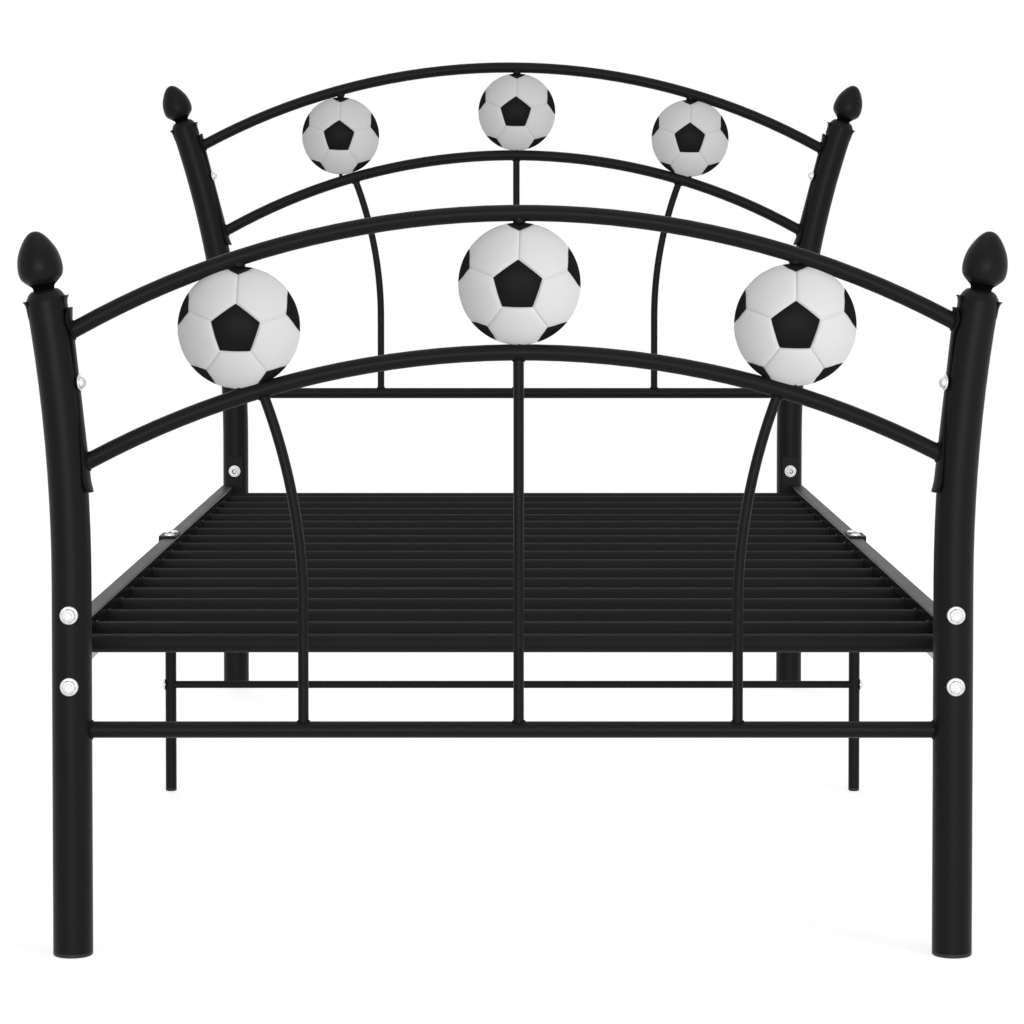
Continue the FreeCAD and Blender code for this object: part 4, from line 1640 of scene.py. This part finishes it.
@dataclass
class Deck:
    """Rails, cross tubes, middle legs and everything else that stays as modelled."""

    inset: float = 104.5 * MM
    count: int = 17
    end_tube_inset: float = 38.0 * MM

    def rows(self) -> list[float]:
        """Sets out the cross tubes.

        Returns:
            Their places along the bed.
        """
        first = -Bed.half_length + self.inset
        pitch = 2 * (Bed.half_length - self.inset) / (self.count - 1)
        return [first + pitch * i for i in range(self.count)] + [Bed.half_length - self.end_tube_inset]

    @staticmethod
    def finish(node: str) -> Finish:
        """Chooses the finish of a piece that keeps its own shape.

        Args:
            node: its node's name.

        Returns:
            Its finish.
        """
        if node in ("post_glides", "leg_glides"):
            return GLIDE_PLASTIC
        if "_slats" in node:
            return SLAT_COAT
        return Fasteners.plated.get(node, RAIL_COAT if "_rail_" in node else COAT)

    def build(self, shop: Workshop) -> None:
        """Finishes the frame pieces that keep their own shape.

        Args:
            shop: where they are dressed.
        """
        for node, made in sorted(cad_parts.items()):
            if not made.hide_render:
                shop.dress(node, self.finish(node))


# ---- stage, light and camera

@dataclass(frozen=True)
class SoftBox:
    """A rectangular soft box. Its size and places are in metres and its power is in watts."""

    name: str
    place: Triple
    aim: Triple
    size: tuple[float, float]
    power: float
    mirrored: bool = True

    def hang(self) -> None:
        """Hangs the soft box; glossy surfaces show it only if it is mirrored."""
        data = bpy.data.lights.new(self.name, "AREA")
        data.shape = "RECTANGLE"
        data.size, data.size_y = self.size
        data.energy = self.power
        made = bpy.data.objects.new(self.name, data)
        made.location = self.place
        made.rotation_euler = (Vector(self.aim) - Vector(self.place)).to_track_quat("-Z", "Y").to_euler()
        made.visible_camera = False
        made.visible_glossy = self.mirrored
        bpy.context.scene.collection.objects.link(made)


@dataclass
class Studio:
    """A plain white room, soft light and the camera."""

    eye: Triple = (0.0, -4.4888, 0.7715)
    pitch_degrees: float = 1.938
    lens: float = 115.04
    sensor_width: float = 36.0
    sees_to: float = 100.0
    shift_x: float = -0.0005
    shift_y: float = -0.168
    world_level: float = 0.26
    floor_reach: float = 60.0
    floor_drop: float = 0.2 * MM
    boxes: tuple[SoftBox, ...] = (
        SoftBox("front_box", (0.3, -14.0, 1.65), (0.0, 0.0, 1.0), size=(9.0, 3.3), power=560.0),
        SoftBox("right_box", (3.4, -4.2, 0.7), (0.0, -0.5, 0.7), size=(1.6, 1.2), power=80.0,
                mirrored=False),
        SoftBox("back_box", (-1.4, 6.4, 1.6), (0.0, 0.0, 0.7), size=(3.0, 2.2), power=110.0,
                mirrored=False),
        SoftBox("top_box", (0.0, -1.6, 3.6), (0.0, 0.0, 0.3), size=(2.0, 1.6), power=9.0),
    )

    def build(self) -> None:
        """Sets up everything that isn't the bed."""
        self.camera()
        self.world()
        self.floor()
        for box in self.boxes:
            box.hang()
        bpy.context.scene.view_settings.view_transform = "Standard"

    def camera(self) -> None:
        """The camera in front of the foot end, level with the foot panel's arches."""
        data = bpy.data.cameras.new("camera")
        data.lens = self.lens
        data.sensor_width = self.sensor_width
        data.shift_x = self.shift_x
        data.shift_y = self.shift_y
        data.clip_end = self.sees_to
        made = bpy.data.objects.new("camera", data)
        made.location = self.eye
        made.rotation_euler = (math.radians(90 - self.pitch_degrees), 0, 0)
        bpy.context.scene.collection.objects.link(made)
        bpy.context.scene.camera = made

    def world(self) -> None:
        """White to the eye, and a plain level of light on the bed."""
        made = bpy.data.worlds.new("studio")
        made.use_nodes = True
        bpy.context.scene.world = made
        graph = Graph(made.node_tree)
        strength = graph.backdrop_rays() * (1 - self.world_level) + self.world_level
        light = graph.node("ShaderNodeBackground", None, {"Color": (1, 1, 1, 1), "Strength": strength})
        graph.node("ShaderNodeOutputWorld", None, {"Surface": light.outputs[0]})

    def floor(self) -> None:
        """A wide pale floor that keeps the bed's shadow."""
        reach, low = self.floor_reach, CAD_BOX[0].z - self.floor_drop
        corners = [(-reach, -reach, low), (reach, -reach, low), (reach, reach, low), (-reach, reach, low)]
        mesh = bpy.data.meshes.new("floor")
        mesh.from_pydata(corners, [], [(0, 1, 2, 3)])
        mesh.materials.append(FLOOR.material())
        made = bpy.data.objects.new("floor", mesh)
        bpy.context.scene.collection.objects.link(made)


def report_size() -> None:
    """Brings the scene up to date."""
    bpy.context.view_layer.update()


def main() -> None:
    """Builds the bed, a sub-assembly at a time, then the studio round it."""
    logging.basicConfig(level=logging.INFO, format="%(message)s")
    shop = Workshop()
    for part in (Footballs(), PostTops(), Saddles(), Welds(), Fasteners(), Deck()):
        part.build(shop)
    for name in shop.made:
        LOG.info("piece %s", name)
    Studio().build()
    report_size()


if __name__ == "__main__":
    main()
